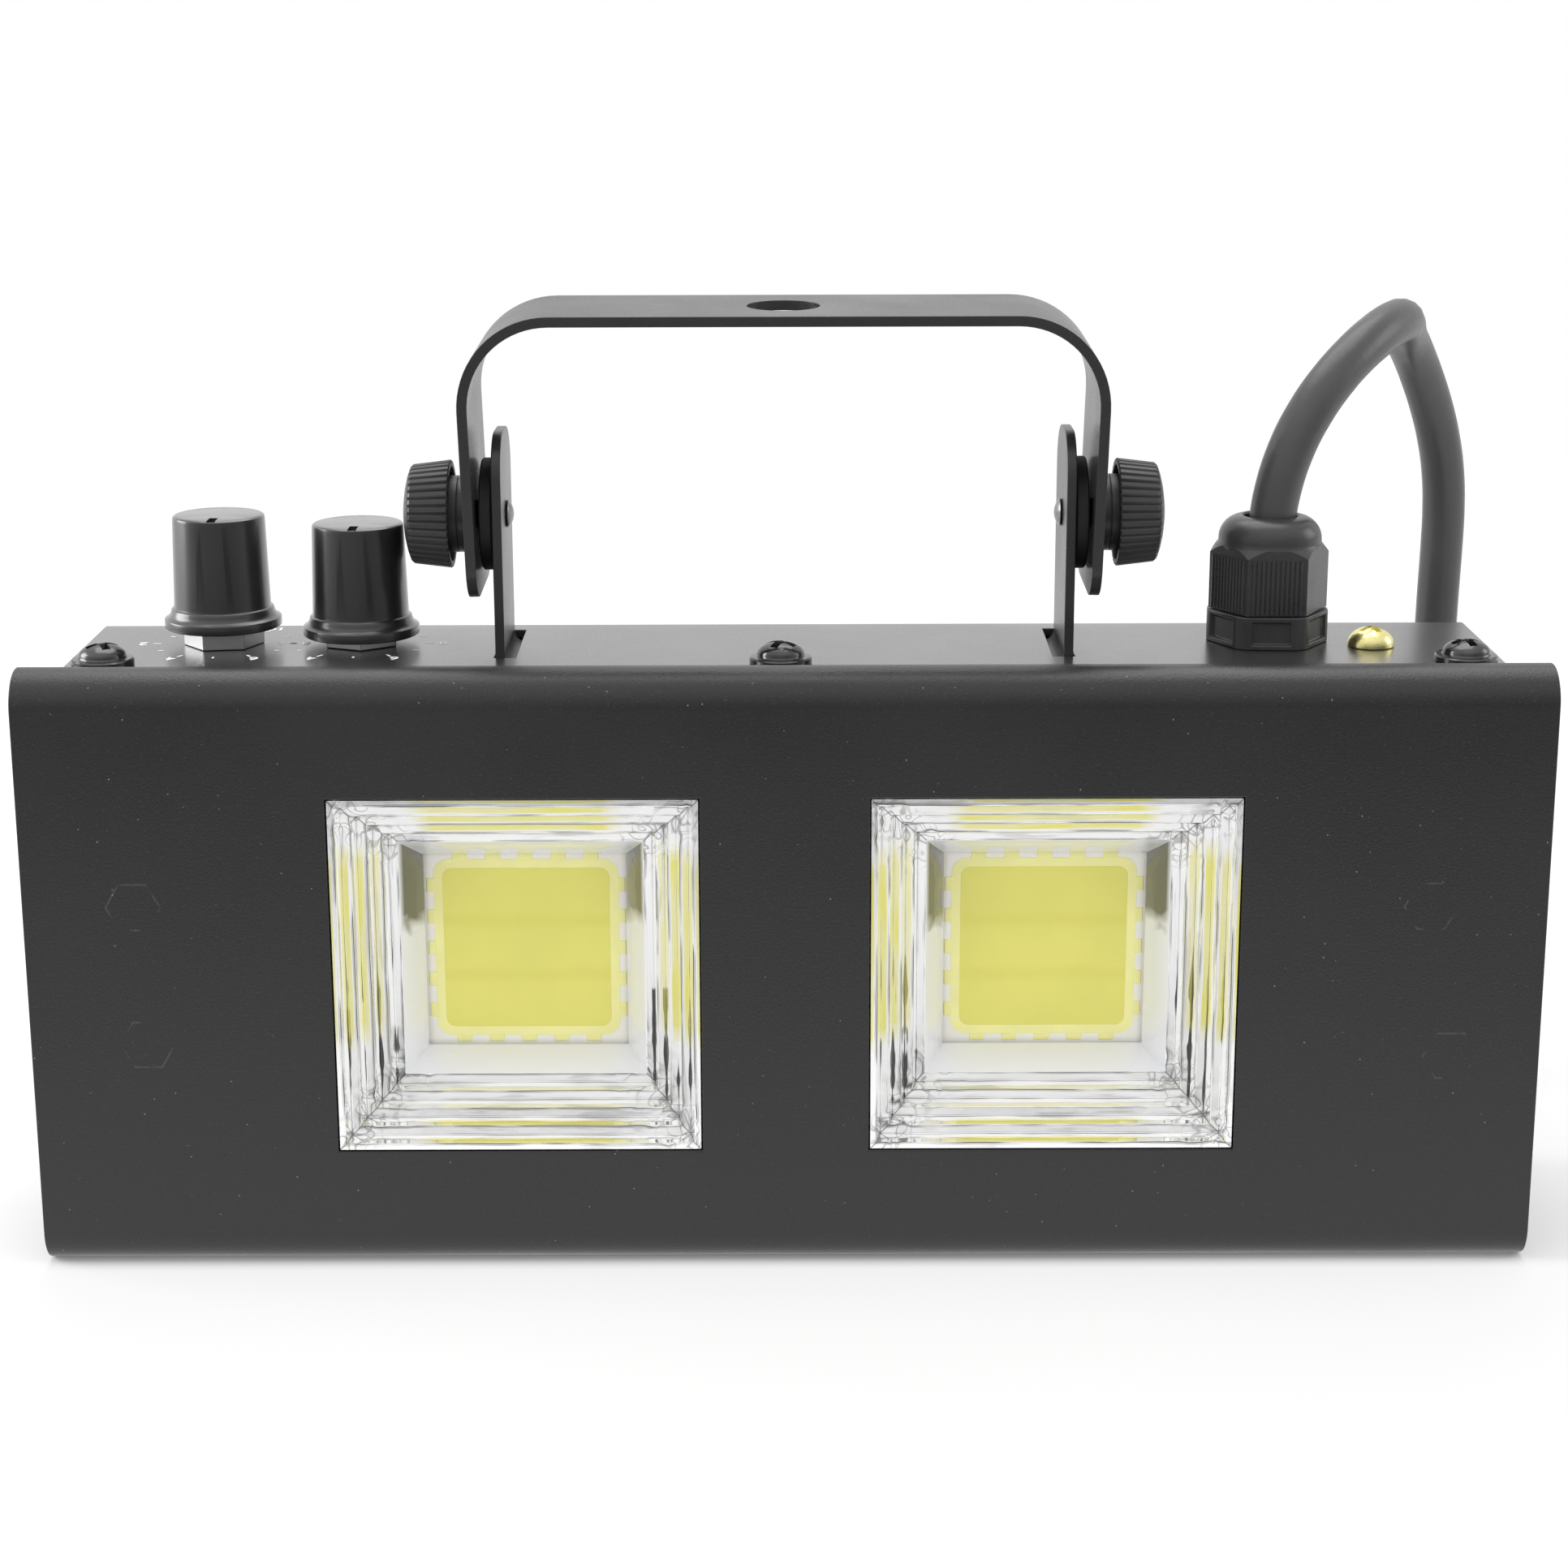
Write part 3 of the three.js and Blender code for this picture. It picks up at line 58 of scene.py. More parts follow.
scene.view_settings.view_transform = "Standard"

# The camera stands 0.39 m in front of the lamp, opposite its middle and 0.17 m up, and looks down by 15
# degrees. Its place and its lens were fitted to the photograph.
camera_place = (-0.0001, -0.41551, 0.172124)
camera_fall = 0.255851
camera_roll = -0.00284924
camera_data = bpy.data.cameras.new("studio_camera")
camera_data.lens = 70.279
camera_data.sensor_width = 36
camera = bpy.data.objects.new("studio_camera", camera_data)
scene.collection.objects.link(camera)
tilt = Matrix.Rotation(math.pi / 2 - camera_fall, 4, "X") @ Matrix.Rotation(camera_roll, 4, "Z")
camera.matrix_world = Matrix.Translation(camera_place) @ tilt
scene.camera = camera

# The mains lead: 1.18 m of round 6.5 mm cable in a soft black PVC jacket. It rises out of the gland,
# bows over the back to the floor, and the rest lies wound in two layers of two turns.
MM = 0.001
BACK = -21.45  # the front of the cover, from the middle of the lamp
gland_x = 67.8
gland_y = 27.8
lead_radius = 3.25
lead_rows = [
    (0, 0, 97.6), (0.81, 0.13, 103.53), (2.63, 1.16, 109.21), (5.43, 2.99, 114.25), (8.89, 5.71, 118.41),
    (12.61, 9.31, 121.54), (16.19, 13.74, 123.59), (19.27, 18.85, 124.57), (21.64, 24.42, 124.53),
    (23.26, 30.15, 123.43), (24.73, 35.58, 121.19), (26.95, 40.26, 118.06), (29.29, 44.06, 113.97),
    (31.52, 47.08, 109.22), (33.4, 49.35, 103.93), (34.71, 50.96, 98.25), (35.33, 52, 92.31),
    (35.45, 52.6, 86.29), (35.37, 52.89, 80.24), (35.29, 53.01, 74.19), (35.27, 53.05, 68.13),
    (35.3, 53.07, 62.07), (35.37, 53.1, 56.02), (35.41, 53.12, 49.96), (35.19, 53.11, 43.91),
    (34.43, 53.01, 37.9), (32.9, 52.73, 32.05), (30.56, 52.2, 26.49), (27.52, 51.32, 21.33),
    (23.88, 50.02, 16.67), (19.74, 48.27, 12.61), (15.15, 46.17, 9.27), (10.14, 43.95, 6.7),
    (4.73, 41.9, 4.92), (-1.02, 40.34, 3.85), (-7, 39.5, 3.37), (-13, 39.5, 3.3),
]
lead_line = [(gland_x + across, gland_y + back, up) for across, back, up in lead_rows]
coil_x = 48.0
coil_y = 111.3
coil_reach = 44
coil_turns = 4
coil_steps = 96
turn_pitch = 7
lead_low = 3.3
lead_high = 10.25
plug_y = 67.3
coil_full = coil_turns * math.pi * 2
for step in range(coil_steps + 1):
    turn = coil_full * step / coil_steps
    from_end = min(turn, coil_full - turn)
    reach = coil_reach - turn_pitch * from_end / (2 * math.pi)
    share = min(max((turn - coil_full / 2 + math.pi / 2) / math.pi, 0), 1)
    climb = share * share * (3 - 2 * share)
    angle = -math.pi / 2 - turn
    lead_line.append((coil_x + reach * math.cos(angle), coil_y + reach * math.sin(angle),
                      lead_low + (lead_high - lead_low) * climb))
lead_line.append((26, plug_y, lead_high))
lead_curve = bpy.data.curves.new("mains_lead", "CURVE")
lead_curve.dimensions = "3D"
lead_curve.bevel_depth = lead_radius * MM
lead_curve.bevel_resolution = 6
lead_curve.resolution_u = 5
lead_curve.use_fill_caps = True
lead_spline = lead_curve.splines.new("BEZIER")
lead_spline.bezier_points.add(len(lead_line) - 1)
for knot, (x, y, z) in zip(lead_spline.bezier_points, lead_line):
    knot.co = (x * MM, (y + BACK) * MM, z * MM)
    knot.handle_left_type = knot.handle_right_type = "AUTO"
mains_lead = bpy.data.objects.new("mains_lead", lead_curve)
scene.collection.objects.link(mains_lead)


def tone(*levels):
    """A paint colour from its 0 to 255 levels, one number for a grey."""
    values = levels * 3 if len(levels) == 1 else levels
    shares = [v / 255 for v in values]
    return [s / 12.92 if s <= 0.04045 else ((s + 0.055) / 1.055) ** 2.4 for s in shares] + [1.0]


class Amount:
    """A number that a material works out at each point; + - * / > and abs() each add a Math node."""

    def __init__(self, tree, socket):
        self.tree = tree
        self.socket = socket

    def worked(self, operation, *terms):
        """What one Math node makes of these terms; each is an Amount or a plain number."""
        node = self.tree.nodes.new("ShaderNodeMath")
        node.operation = operation
        for socket, term in zip(node.inputs, terms):
            if isinstance(term, Amount):
                self.tree.links.new(term.socket, socket)
            else:
                socket.default_value = term
        return Amount(self.tree, node.outputs[0])

    def __add__(self, other):
        return self.worked("ADD", self, other)

    def __sub__(self, other):
        return self.worked("SUBTRACT", self, other)

    def __rsub__(self, other):
        return self.worked("SUBTRACT", other, self)

    def __mul__(self, other):
        return self.worked("MULTIPLY", self, other)

    def __truediv__(self, other):
        return self.worked("DIVIDE", self, other)

    def __gt__(self, other):
        return self.worked("GREATER_THAN", self, other)

    def __abs__(self):
        return self.worked("ABSOLUTE", self)

    def or_more(self, other):
        """This or the other, whichever is larger."""
        return self.worked("MAXIMUM", self, other)

    def or_less(self, other):
        """This or the other, whichever is smaller."""
        return self.worked("MINIMUM", self, other)

    def whole(self):
        """The whole number below this."""
        return self.worked("FLOOR", self)

    def fraction(self):
        """What is over beyond the whole number."""
        return self.worked("FRACT", self)

    def ranged(self, low, high, to_low, to_high):
        """This taken from low..high to to_low..to_high, and held there beyond."""
        node = self.tree.nodes.new("ShaderNodeMapRange")
        for socket, number in zip(node.inputs[1:5], (low, high, to_low, to_high)):
            socket.default_value = number
        self.tree.links.new(self.socket, node.inputs[0])
        return Amount(self.tree, node.outputs[0])

    def feeds(self, socket):
        """Sets a shader's socket from this."""
        self.tree.links.new(self.socket, socket)


def stretched(tree, spot, scale):
    """The point with its axes scaled, which draws a pattern out along the small ones."""
    node = tree.nodes.new("ShaderNodeMapping")
    node.inputs["Scale"].default_value = scale
    tree.links.new(spot, node.inputs["Vector"])
    return node.outputs["Vector"]


def noise_of(tree, spot, size, detail, distortion=0.0):
    """Noise whose patches are about size millimetres across."""
    node = tree.nodes.new("ShaderNodeTexNoise")
    node.inputs["Scale"].default_value = 1 / (size * MM)
    node.inputs["Detail"].default_value = detail
    node.inputs["Distortion"].default_value = distortion
    tree.links.new(spot, node.inputs["Vector"])
    return Amount(tree, node.outputs["Fac"])


def mixed(share, first, second):
    """Two colours mixed by share, an Amount; each is a colour or a socket."""
    node = share.tree.nodes.new("ShaderNodeMix")
    node.data_type = "RGBA"
    share.feeds(node.inputs[0])
    for socket, colour in ((node.inputs[6], first), (node.inputs[7], second)):
        if isinstance(colour, (list, tuple)):
            socket.default_value = colour
        else:
            share.tree.links.new(colour, socket)
    return node.outputs[2]


def dented(height, strength, distance):
    """Gives the material of this height a bump that follows it."""
    tree = height.tree
    dents = tree.nodes.new("ShaderNodeBump")
    dents.inputs["Strength"].default_value = strength
    dents.inputs["Distance"].default_value = distance
    height.feeds(dents.inputs["Height"])
    tree.links.new(dents.outputs["Normal"], tree.nodes["Principled BSDF"].inputs["Normal"])


def surface(name, colour, rough, metal=0.0, mottle=0.08, patch=9.0, grain=0.35, bump=0.15, stretch=(1, 1, 1),
            specular=0.5, coat=0.0, coat_rough=0.2, spread=0.06):
    """A material with cloudy colour, uneven gloss and a fine bump, all by the lamp's own millimetres."""
    material = bpy.data.materials.new(name)
    material.use_nodes = True
    tree = material.node_tree
    shader = tree.nodes["Principled BSDF"]
    for socket, number in (("Metallic", metal), ("Specular IOR Level", specular), ("Coat Weight", coat),
                           ("Coat Roughness", coat_rough)):
        shader.inputs[socket].default_value = number
    spot = stretched(tree, tree.nodes.new("ShaderNodeTexCoord").outputs["Object"], stretch)
    clouds = noise_of(tree, spot, patch, 5)
    fine = noise_of(tree, spot, grain, 3)
    dark = [c * (1 - mottle) for c in colour[:3]] + [1]
    light = [min(c * (1 + mottle), 1) for c in colour[:3]] + [1]
    tree.links.new(mixed(clouds.ranged(0.35, 0.65, 0, 1), dark, light), shader.inputs["Base Color"])
    gloss = clouds * 0.6 + fine * 0.4
    gloss.ranged(0.35, 0.65, max(rough - spread, 0.02), rough + spread).feeds(shader.inputs["Roughness"])
    dented(fine, bump, grain * 0.3 * MM)
    return material


pvc_jacket = surface("pvc_jacket", tone(66, 66, 67), 0.36, patch=14, grain=0.8, bump=0.12)
lead_curve.materials.append(pvc_jacket)
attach(mains_lead, "housing")
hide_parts("power_cord", "cord_coil")

# The mains plug: one moulding of black PVC over the end of the lead, with a finger grip round its side
# and a ribbed sleeve that lets the lead bend. Its two round pins are solid nickel-plated brass.
PLACE = Matrix.Scale(MM, 4) @ Matrix.Translation((0, BACK, 0))


def faces_out(bm):
    """Turns all faces of a closed form outwards, or those of a sheet one way."""
    bmesh.ops.recalc_face_normals(bm, faces=bm.faces[:])


def turned(profile, steps=64):
    """A profile of (radius, height) turned once round Z."""
    bm = bmesh.new()
    line = [bm.verts.new((radius, 0, height)) for radius, height in profile]
    edges = [bm.edges.new(pair) for pair in zip(line, line[1:])]
    bmesh.ops.spin(bm, geom=line + edges, cent=(0, 0, 0), axis=(0, 0, 1), angle=2 * math.pi, steps=steps,
                   use_merge=True)
    bmesh.ops.remove_doubles(bm, verts=bm.verts[:], dist=0.004)
    faces_out(bm)
    return bm


def moved(bm, *steps):
    """Everything in bm taken through these matrices, the first one first."""
    for matrix in steps:
        bmesh.ops.transform(bm, matrix=matrix, verts=bm.verts[:])
    return bm


def joined(*parts):
    """Several closed forms as one mesh."""
    first, *others = parts
    for other in others:
        lump = bpy.data.meshes.new("lump")
        other.to_mesh(lump)
        other.free()
        first.from_mesh(lump)
        bpy.data.meshes.remove(lump)
    return first


def settled(bm, name, material, slot, *nodes, edge=0.0, sheet=0.0, crease=38):
    """bm becomes a piece in the lamp, on the body of the nodes that it stands for."""
    moved(bm, PLACE)
    mesh = bpy.data.meshes.new(name)
    bm.to_mesh(mesh)
    bm.free()
    mesh.shade_smooth()
    mesh.set_sharp_from_angle(angle=math.radians(crease))
    mesh.materials.append(material)
    piece = bpy.data.objects.new(name, mesh)
    scene.collection.objects.link(piece)
    if sheet:
        wall = piece.modifiers.new("sheet", "SOLIDIFY")
        wall.thickness = sheet * MM
        wall.offset = -1
        wall.use_even_offset = True
    if edge:
        rounding = piece.modifiers.new("edges", "BEVEL")
        rounding.width = edge * MM
        rounding.segments = 2
        rounding.limit_method = "ANGLE"
        rounding.angle_limit = math.radians(crease)
        rounding.harden_normals = True
    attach(piece, frame["nodes"][nodes[0]]["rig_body"])
    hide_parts(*nodes)
    return piece


def dressed(material, *nodes):
    """CAD nodes that keep their shape get this material."""
    for node in nodes:
        frame["nodes"][node].data.materials.clear()
        frame["nodes"][node].data.materials.append(material)


plug_x = -10.083
plug_wide, plug_waist = 18.5, 17.9
grip = [(0, 0), (15.5, 0), (17.6, 0.5), (18.3, 1.5)]
for ridge in range(6):
    low = 2.6 + ridge * 1.6
    grip += [(plug_wide, low), (plug_wide, low + 0.6), (plug_waist, low + 1.0), (plug_waist, low + 1.4)]
grip += [(plug_wide, 12.8), (plug_wide, 18.6), (plug_waist, 20.2), (16.4, 21), (14.9, 21), (14.7, 20.5),
         (14.0, 20.5), (13.8, 21), (0, 21)]
plug_disc = moved(turned(grip, 72), Matrix.Translation((plug_x, plug_y, 0)))
sleeve = [(0, 0), (4.3, 0), (4.6, 0.4)]
for ridge in range(6):
    foot = 0.8 + ridge * 2.4
    wide = 4.7 + ridge * 0.3
    sleeve += [(wide, foot), (wide, foot + 1.5), (wide - 0.7, foot + 1.8), (wide - 0.7, foot + 2.3)]
sleeve += [(6.6, 15.6), (6.6, 28), (0, 28)]
plug_sleeve = moved(turned(sleeve, 40), Matrix.Rotation(-math.pi / 2, 4, "Y"),
                    Matrix.Translation((25.7, plug_y, lead_high)))
plug_pvc = surface("plug_pvc", tone(46), 0.5, patch=12, grain=0.5, bump=0.2)
plug = settled(joined(plug_disc, plug_sleeve), "moulded_plug", plug_pvc, "plug_black", "plug_body", edge=0.15)
nickel = surface("nickel_plate", tone(190, 188, 182), 0.22, metal=1.0, mottle=0.05, grain=0.25, bump=0.08)
for node, sign in (("plug_pin_line", -1), ("plug_pin_neutral", 1)):
    pin = turned([(0, 20), (2.4, 20), (2.4, 38.2), (2.1, 39.2), (1.5, 39.8), (0.8, 40), (0, 40)], 32)
    moved(pin, Matrix.Translation((plug_x, plug_y + sign * 9.5, 0)))
    settled(pin, "round_" + node, nickel, "bright_steel", node)

# The studio: a white paper floor that runs out of sight, with white all round, a lamp at each side and one
# overhead, a little behind. The floor takes shadows only near the strobe light, and reflections find it and
# the room darker towards the camera.
floor_mesh = bpy.data.meshes.new("paper_floor")
floor_bm = bmesh.new()
bmesh.ops.create_grid(floor_bm, x_segments=24, y_segments=24, size=30)
floor_bm.to_mesh(floor_mesh)
floor_bm.free()
paper_floor = bpy.data.objects.new("paper_floor", floor_mesh)
scene.collection.objects.link(paper_floor)


def place_in(tree, kind="Object"):
    """The point that is painted: its vector, then its X, Y and Z as Amounts."""
    vector = tree.nodes.new("ShaderNodeTexCoord").outputs[kind]
    parts = tree.nodes.new("ShaderNodeSeparateXYZ")
    tree.links.new(vector, parts.inputs[0])
    return vector, *(Amount(tree, socket) for socket in parts.outputs)


def rays_in(tree):
    """Whether a ray comes from the camera, a mirror or something clear, as Amounts."""
    rays = tree.nodes.new("ShaderNodeLightPath")
    return [Amount(tree, rays.outputs[f"Is {kind} Ray"]) for kind in ("Camera", "Glossy", "Transmission")]


paper = bpy.data.materials.new("white_paper")
paper.use_nodes = True
tree = paper.node_tree
shader = tree.nodes["Principled BSDF"]
shader.inputs["Base Color"].default_value = (0.8, 0.8, 0.8, 1)
shader.inputs["Roughness"].default_value = 0.9
shader.inputs["Specular IOR Level"].default_value = 0.1
spot, _, at_y, _ = place_in(tree)
away = tree.nodes.new("ShaderNodeVectorMath")
away.operation = "LENGTH"
tree.links.new(spot, away.inputs[0])
by_camera, mirrored, through = rays_in(tree)
seen = by_camera.or_more(mirrored).or_more(through)
white = tree.nodes.new("ShaderNodeEmission")
(1.0 - mirrored * at_y.ranged(-0.4, -0.08, 0.97, 0)).feeds(white.inputs["Strength"])
far = Amount(tree, away.outputs["Value"]).ranged(0.2, 0.9, 0.1, 1)
in_front = at_y.ranged(-0.0228, -0.0185, 0.72, 0)
blend = tree.nodes.new("ShaderNodeMixShader")
(far.or_more(in_front).or_more(mirrored) * seen).feeds(blend.inputs[0])
tree.links.new(shader.outputs[0], blend.inputs[1])
tree.links.new(white.outputs[0], blend.inputs[2])
tree.links.new(blend.outputs[0], tree.nodes["Material Output"].inputs["Surface"])
floor_mesh.materials.append(paper)

world = bpy.data.worlds.new("white_studio")
world.use_nodes = True
scene.world = world
tree = world.node_tree
room = tree.nodes["Background"]
_, at_x, at_y, at_z = place_in(tree, "Generated")
by_camera, mirrored, through = rays_in(tree)
lit = at_y.ranged(-0.3, 0.4, 1.3, 0.6)
ahead = at_y.ranged(-0.85, -0.1, 0.62, 0) * at_z.ranged(0.25, 0.75, 1, 0)
shown = at_x.ranged(0.0, 0.9, 1.0, 0.75) - ahead
level = shown * mirrored + lit * (1.0 - mirrored)
seen = by_camera.or_more(through)
(level * (1.0 - seen) + seen).feeds(room.inputs["Strength"])
room.inputs["Color"].default_value = (1, 1, 1, 1)


def soft_lamp(name, place, aim, size, watts):
    """A square diffused studio lamp at place, turned to aim."""
    data = bpy.data.lights.new(name, "AREA")
    data.shape = "SQUARE"
    data.size = size
    data.energy = watts
    lamp = bpy.data.objects.new(name, data)
    lamp.location = place
    lamp.rotation_euler = (Vector(aim) - Vector(place)).to_track_quat("-Z", "Y").to_euler()
    scene.collection.objects.link(lamp)


soft_lamp("soft_left", (-0.8, 0.1, 0.35), (0, 0, 0.05), 0.45, 4.0)
soft_lamp("soft_right", (0.85, 0.15, 0.4), (0, 0, 0.05), 0.4, 1.1)
soft_lamp("soft_top", (0, 0.3, 0.9), (0, -0.02, 0), 0.75, 3.7)

# The front cover: 1.4 mm steel with its two long edges bent back round a 5 mm radius and two square
# windows punched in it, powder-coated in a fine satin black.
cover_width = 205.4
cover_height = 84
cover_sheet = 1.4
bend = 5
lip_end = 5.9
window_x = 36.4
window_z = 42
window_half = 25


def cut_across(bm, normal, *places):
    """Splits bm by planes square to normal, at these distances from the origin."""
    for place in places:
        everything = bm.verts[:] + bm.edges[:] + bm.faces[:]
        bmesh.ops.bisect_plane(bm, geom=everything, dist=0.0001, plane_co=Vector(normal) * place,
                               plane_no=normal)


def verts_in(geom):
    """The vertices among what a bmesh operator gives back."""
    return [part for part in geom if isinstance(part, bmesh.types.BMVert)]


def rounded(bm, corners, setback, steps):
    """Rounds these corners of a line or of a flat sheet."""
    bmesh.ops.bevel(bm, geom=corners, offset=setback, offset_type="OFFSET", affect="VERTICES", segments=steps,
                    profile=0.5, material=-1)


def folded(line, corners, width, axis="X"):
    """A sheet: an open line of points with rounded corners, {corner: setback}, drawn out over width."""
    bm = bmesh.new()
    knots = [bm.verts.new(point) for point in line]
    for pair in zip(knots, knots[1:]):
        bm.edges.new(pair)
    for corner, setback in corners.items():
        rounded(bm, [knots[corner]], setback, 18)
    drawn = bmesh.ops.extrude_edge_only(bm, edges=bm.edges[:])
    shift = (width, 0, 0) if axis == "X" else (0, width, 0)
    bmesh.ops.translate(bm, vec=shift, verts=verts_in(drawn["geom"]))
    faces_out(bm)
    return bm


def outward(bm, direction):
    """Turns an open sheet's faces so that most of its area faces away from the lamp's inside."""
    if sum(f.normal.dot(Vector(direction)) * f.calc_area() for f in bm.faces) < 0:
        bmesh.ops.reverse_faces(bm, faces=bm.faces[:])


def punched(bm, inside):
    """Removes the faces whose middle is inside."""
    gone = [f for f in bm.faces if inside(f.calc_center_median())]
    bmesh.ops.delete(bm, geom=gone, context="FACES")


half = cover_width / 2
cover = folded([(-half, lip_end, 0), (-half, 0, 0), (-half, 0, cover_height), (-half, lip_end, cover_height)],
               {1: bend, 2: bend}, cover_width)
cut_across(cover, (1, 0, 0), *[s * window_x + t * window_half for s in (-1, 1) for t in (-1, 1)])
cut_across(cover, (0, 0, 1), window_z - window_half, window_z + window_half)
punched(cover, lambda c: abs(abs(c.x) - window_x) < window_half and abs(c.z - window_z) < window_half)
outward(cover, (0, -1, 0))
powder_coat = surface("powder_coat", tone(35), 0.35, mottle=0.06, patch=30, grain=0.32, bump=0.5)
tree = powder_coat.node_tree
shader = tree.nodes["Principled BSDF"]
spot, at_x, _, at_z = place_in(tree)
paint = shader.inputs["Base Color"].links[0].from_socket
peel = noise_of(tree, spot, 0.42, 2)
paint = mixed(peel.ranged(0.6, 0.75, 0, 0.6), paint, tone(54))
dust = tree.nodes.new("ShaderNodeTexVoronoi")
dust.inputs["Scale"].default_value = 480
tree.links.new(spot, dust.inputs["Vector"])
chance = tree.nodes.new("ShaderNodeSeparateColor")
tree.links.new(dust.outputs["Color"], chance.inputs[0])
rare = Amount(tree, chance.outputs[0]).ranged(0.2, 0.7, 0.1, 1)
speck = Amount(tree, dust.outputs["Distance"]).ranged(0.03, 0.06, 1, 0) * rare
paint = mixed(speck, paint, tone(122))

# Four faint six-sided marks in the coat, worn away in places.
mark_half = 3.2
broken = noise_of(tree, spot, 2.2, 2).ranged(0.5, 0.6, 0, 0.22)
for x, z in ((-87.7, 52.1), (-86.8, 32.6), (87, 51.8), (90.5, 30.5)):
    from_x = abs(at_x - x * MM)
    from_z = abs(at_z - z * MM)
    slanted = from_z * 0.5 + from_x * 0.866
    from_line = abs(from_z.or_more(slanted) - mark_half * MM)
    worn = from_line.ranged(0.06 * MM, 0.16 * MM, 1, 0)
    paint = mixed(worn * broken, paint, tone(110))
tree.links.new(paint, shader.inputs["Base Color"])
settled(cover, "pressed_cover", powder_coat, "powder_black", "front_cover", edge=0.22, sheet=cover_sheet)

# The chassis: top panel, rear wall and bottom folded from one 1.2 mm sheet, coated a shade glossier than
# the cover, with a slot for each ear and three vents at each side of the heat sink screws.
chassis_half = 98
chassis_sheet = 1.2
panel_top = 82.6
rear = 41.2
pivot_y = 25.5
chassis = folded([(-chassis_half, 5.15, panel_top), (-chassis_half, rear, panel_top),
                  (-chassis_half, rear, 0), (-chassis_half, 6.05, 0)], {1: 2, 2: 2}, 2 * chassis_half)
slot_x = (37.0, 39.85)
slot_y = (pivot_y - 8.45, pivot_y + 10.5)
vent_tall = 17
vent_wide = 1.5
vent_x = [window_x + way * (7 + i * 6.2) for i in range(3) for way in (-1, 1)]
edges_x = sorted(slot_x + tuple(v + side * vent_wide for v in vent_x for side in (-1, 1)))
cut_across(chassis, (1, 0, 0), *[sign * x for sign in (-1, 1) for x in edges_x])
cut_across(chassis, (0, 1, 0), *slot_y)
cut_across(chassis, (0, 0, 1), window_z - vent_tall, window_z + vent_tall)


def in_slot(c):
    """Whether this point of the top panel lies in an ear's slot."""
    return c.z > panel_top - 1 and slot_x[0] < abs(c.x) < slot_x[1] and slot_y[0] < c.y < slot_y[1]


def in_vent(c):
    """Whether this point of the rear wall lies in a vent."""
    across = min(abs(abs(c.x) - v) for v in vent_x)
    return c.y > rear - 1 and abs(c.z - window_z) < vent_tall and across < vent_wide


punched(chassis, lambda c: in_slot(c) or in_vent(c))
outward(chassis, (0, 1, 0))
panel_coat = surface("panel_coat", tone(44), 0.32, mottle=0.05, patch=25, grain=0.3, bump=0.14, specular=0.66,
                     coat=0.78, coat_rough=0.24)
settled(chassis, "folded_chassis", panel_coat, "panel_black", "chassis", edge=0.18, sheet=chassis_sheet)
dressed(panel_coat, "side_plate_left", "side_plate_right", "cover_rail_top", "cover_rail_bottom")

# The cover screws: blackened steel. Three with flanged pan heads hold the cover at the top panel, and three
# countersunk ones hold it at the bottom, each in a rail inside the box.
screw_y = 13.4
screws = (("left", -92.8, 0.5), ("middle", -0.5, 1.1), ("right", 92.8, 0.25))


def cross_recess(bm, top, span, slot_width, depth, turn):
    """Presses a tapered cross into the top of a turned head."""
    moved(bm, Matrix.Rotation(-turn, 4, "Z"))
    wide = span / 2
    tight = slot_width / 2
    for normal in ((1, 0, 0), (0, 1, 0)):
        cut_across(bm, normal, -wide, -tight, tight, wide)
    pressed = []
    for face in bm.faces:
        c = face.calc_center_median()
        along_x = abs(c.x) < wide and abs(c.y) < tight
        along_y = abs(c.y) < wide and abs(c.x) < tight
        if face.normal.z > 0.2 and c.z > top - depth * 1.6 and (along_x or along_y):
            pressed.append(face)
    sunk = bmesh.ops.extrude_face_region(bm, geom=pressed)
    floor = verts_in(sunk["geom"])
    bmesh.ops.delete(bm, geom=pressed, context="FACES_ONLY")
    for vert in floor:
        vert.co.z = top - depth
    bmesh.ops.scale(bm, vec=(0.8, 0.8, 1), verts=floor)
    moved(bm, Matrix.Rotation(turn, 4, "Z"))


def dome(radius, height, foot):
    """The profile of a domed head, from its edge up to its middle."""
    angles = [step * math.pi / 16 for step in range(8)]
    return [(radius * math.cos(a), foot + height * math.sin(a)) for a in angles] + [(0, foot + height)]


black_steel = surface("blackened_steel", tone(88), 0.2, metal=0.9, mottle=0.12, patch=3, grain=0.3, bump=0.12)
for name, x, turn in screws:
    foot = panel_top + 1.0
    flange = [(0, panel_top - 8), (2, panel_top - 8), (2, panel_top), (4.1, panel_top),
              (4.25, panel_top + 0.15), (4.25, panel_top + 0.8), (4.05, foot), (3.35, foot + 0.05),
              (3.22, foot + 0.25)]
    head = turned(flange + dome(3.2, 1.65, foot + 0.35), 56)
    cross_recess(head, foot + 2.0, 4.4, 1.15, 1.2, turn)
    moved(head, Matrix.Translation((x, screw_y, 0)))
    settled(head, "flanged_screw_" + name, black_steel, "screw_black", "cover_screw_top_" + name, edge=0.06)
    sunk = turned([(0, 8), (1.5, 8), (1.5, 1.5), (2.9, 0.1), (2.85, 0.02), (0, 0.02)], 40)
    moved(sunk, Matrix.Translation((x, screw_y, 0)))
    settled(sunk, "sunk_screw_" + name, black_steel, "screw_black", "cover_screw_bottom_" + name)

# The ears: brackets of 1.3 mm steel, bent to an L, that come up through slots in the panel. Their feet are
# welded under it, and their top corners are rounded.
pivot_z = 101.2
ear_sheet = 1.3
ear_outer = 39.7
ear_foot = 25.4
ear_top = 113.0
ear_half = 8.3
ear_bend = 2.9
ear_round = 6.0
sides = (("left", -1), ("right", 1))


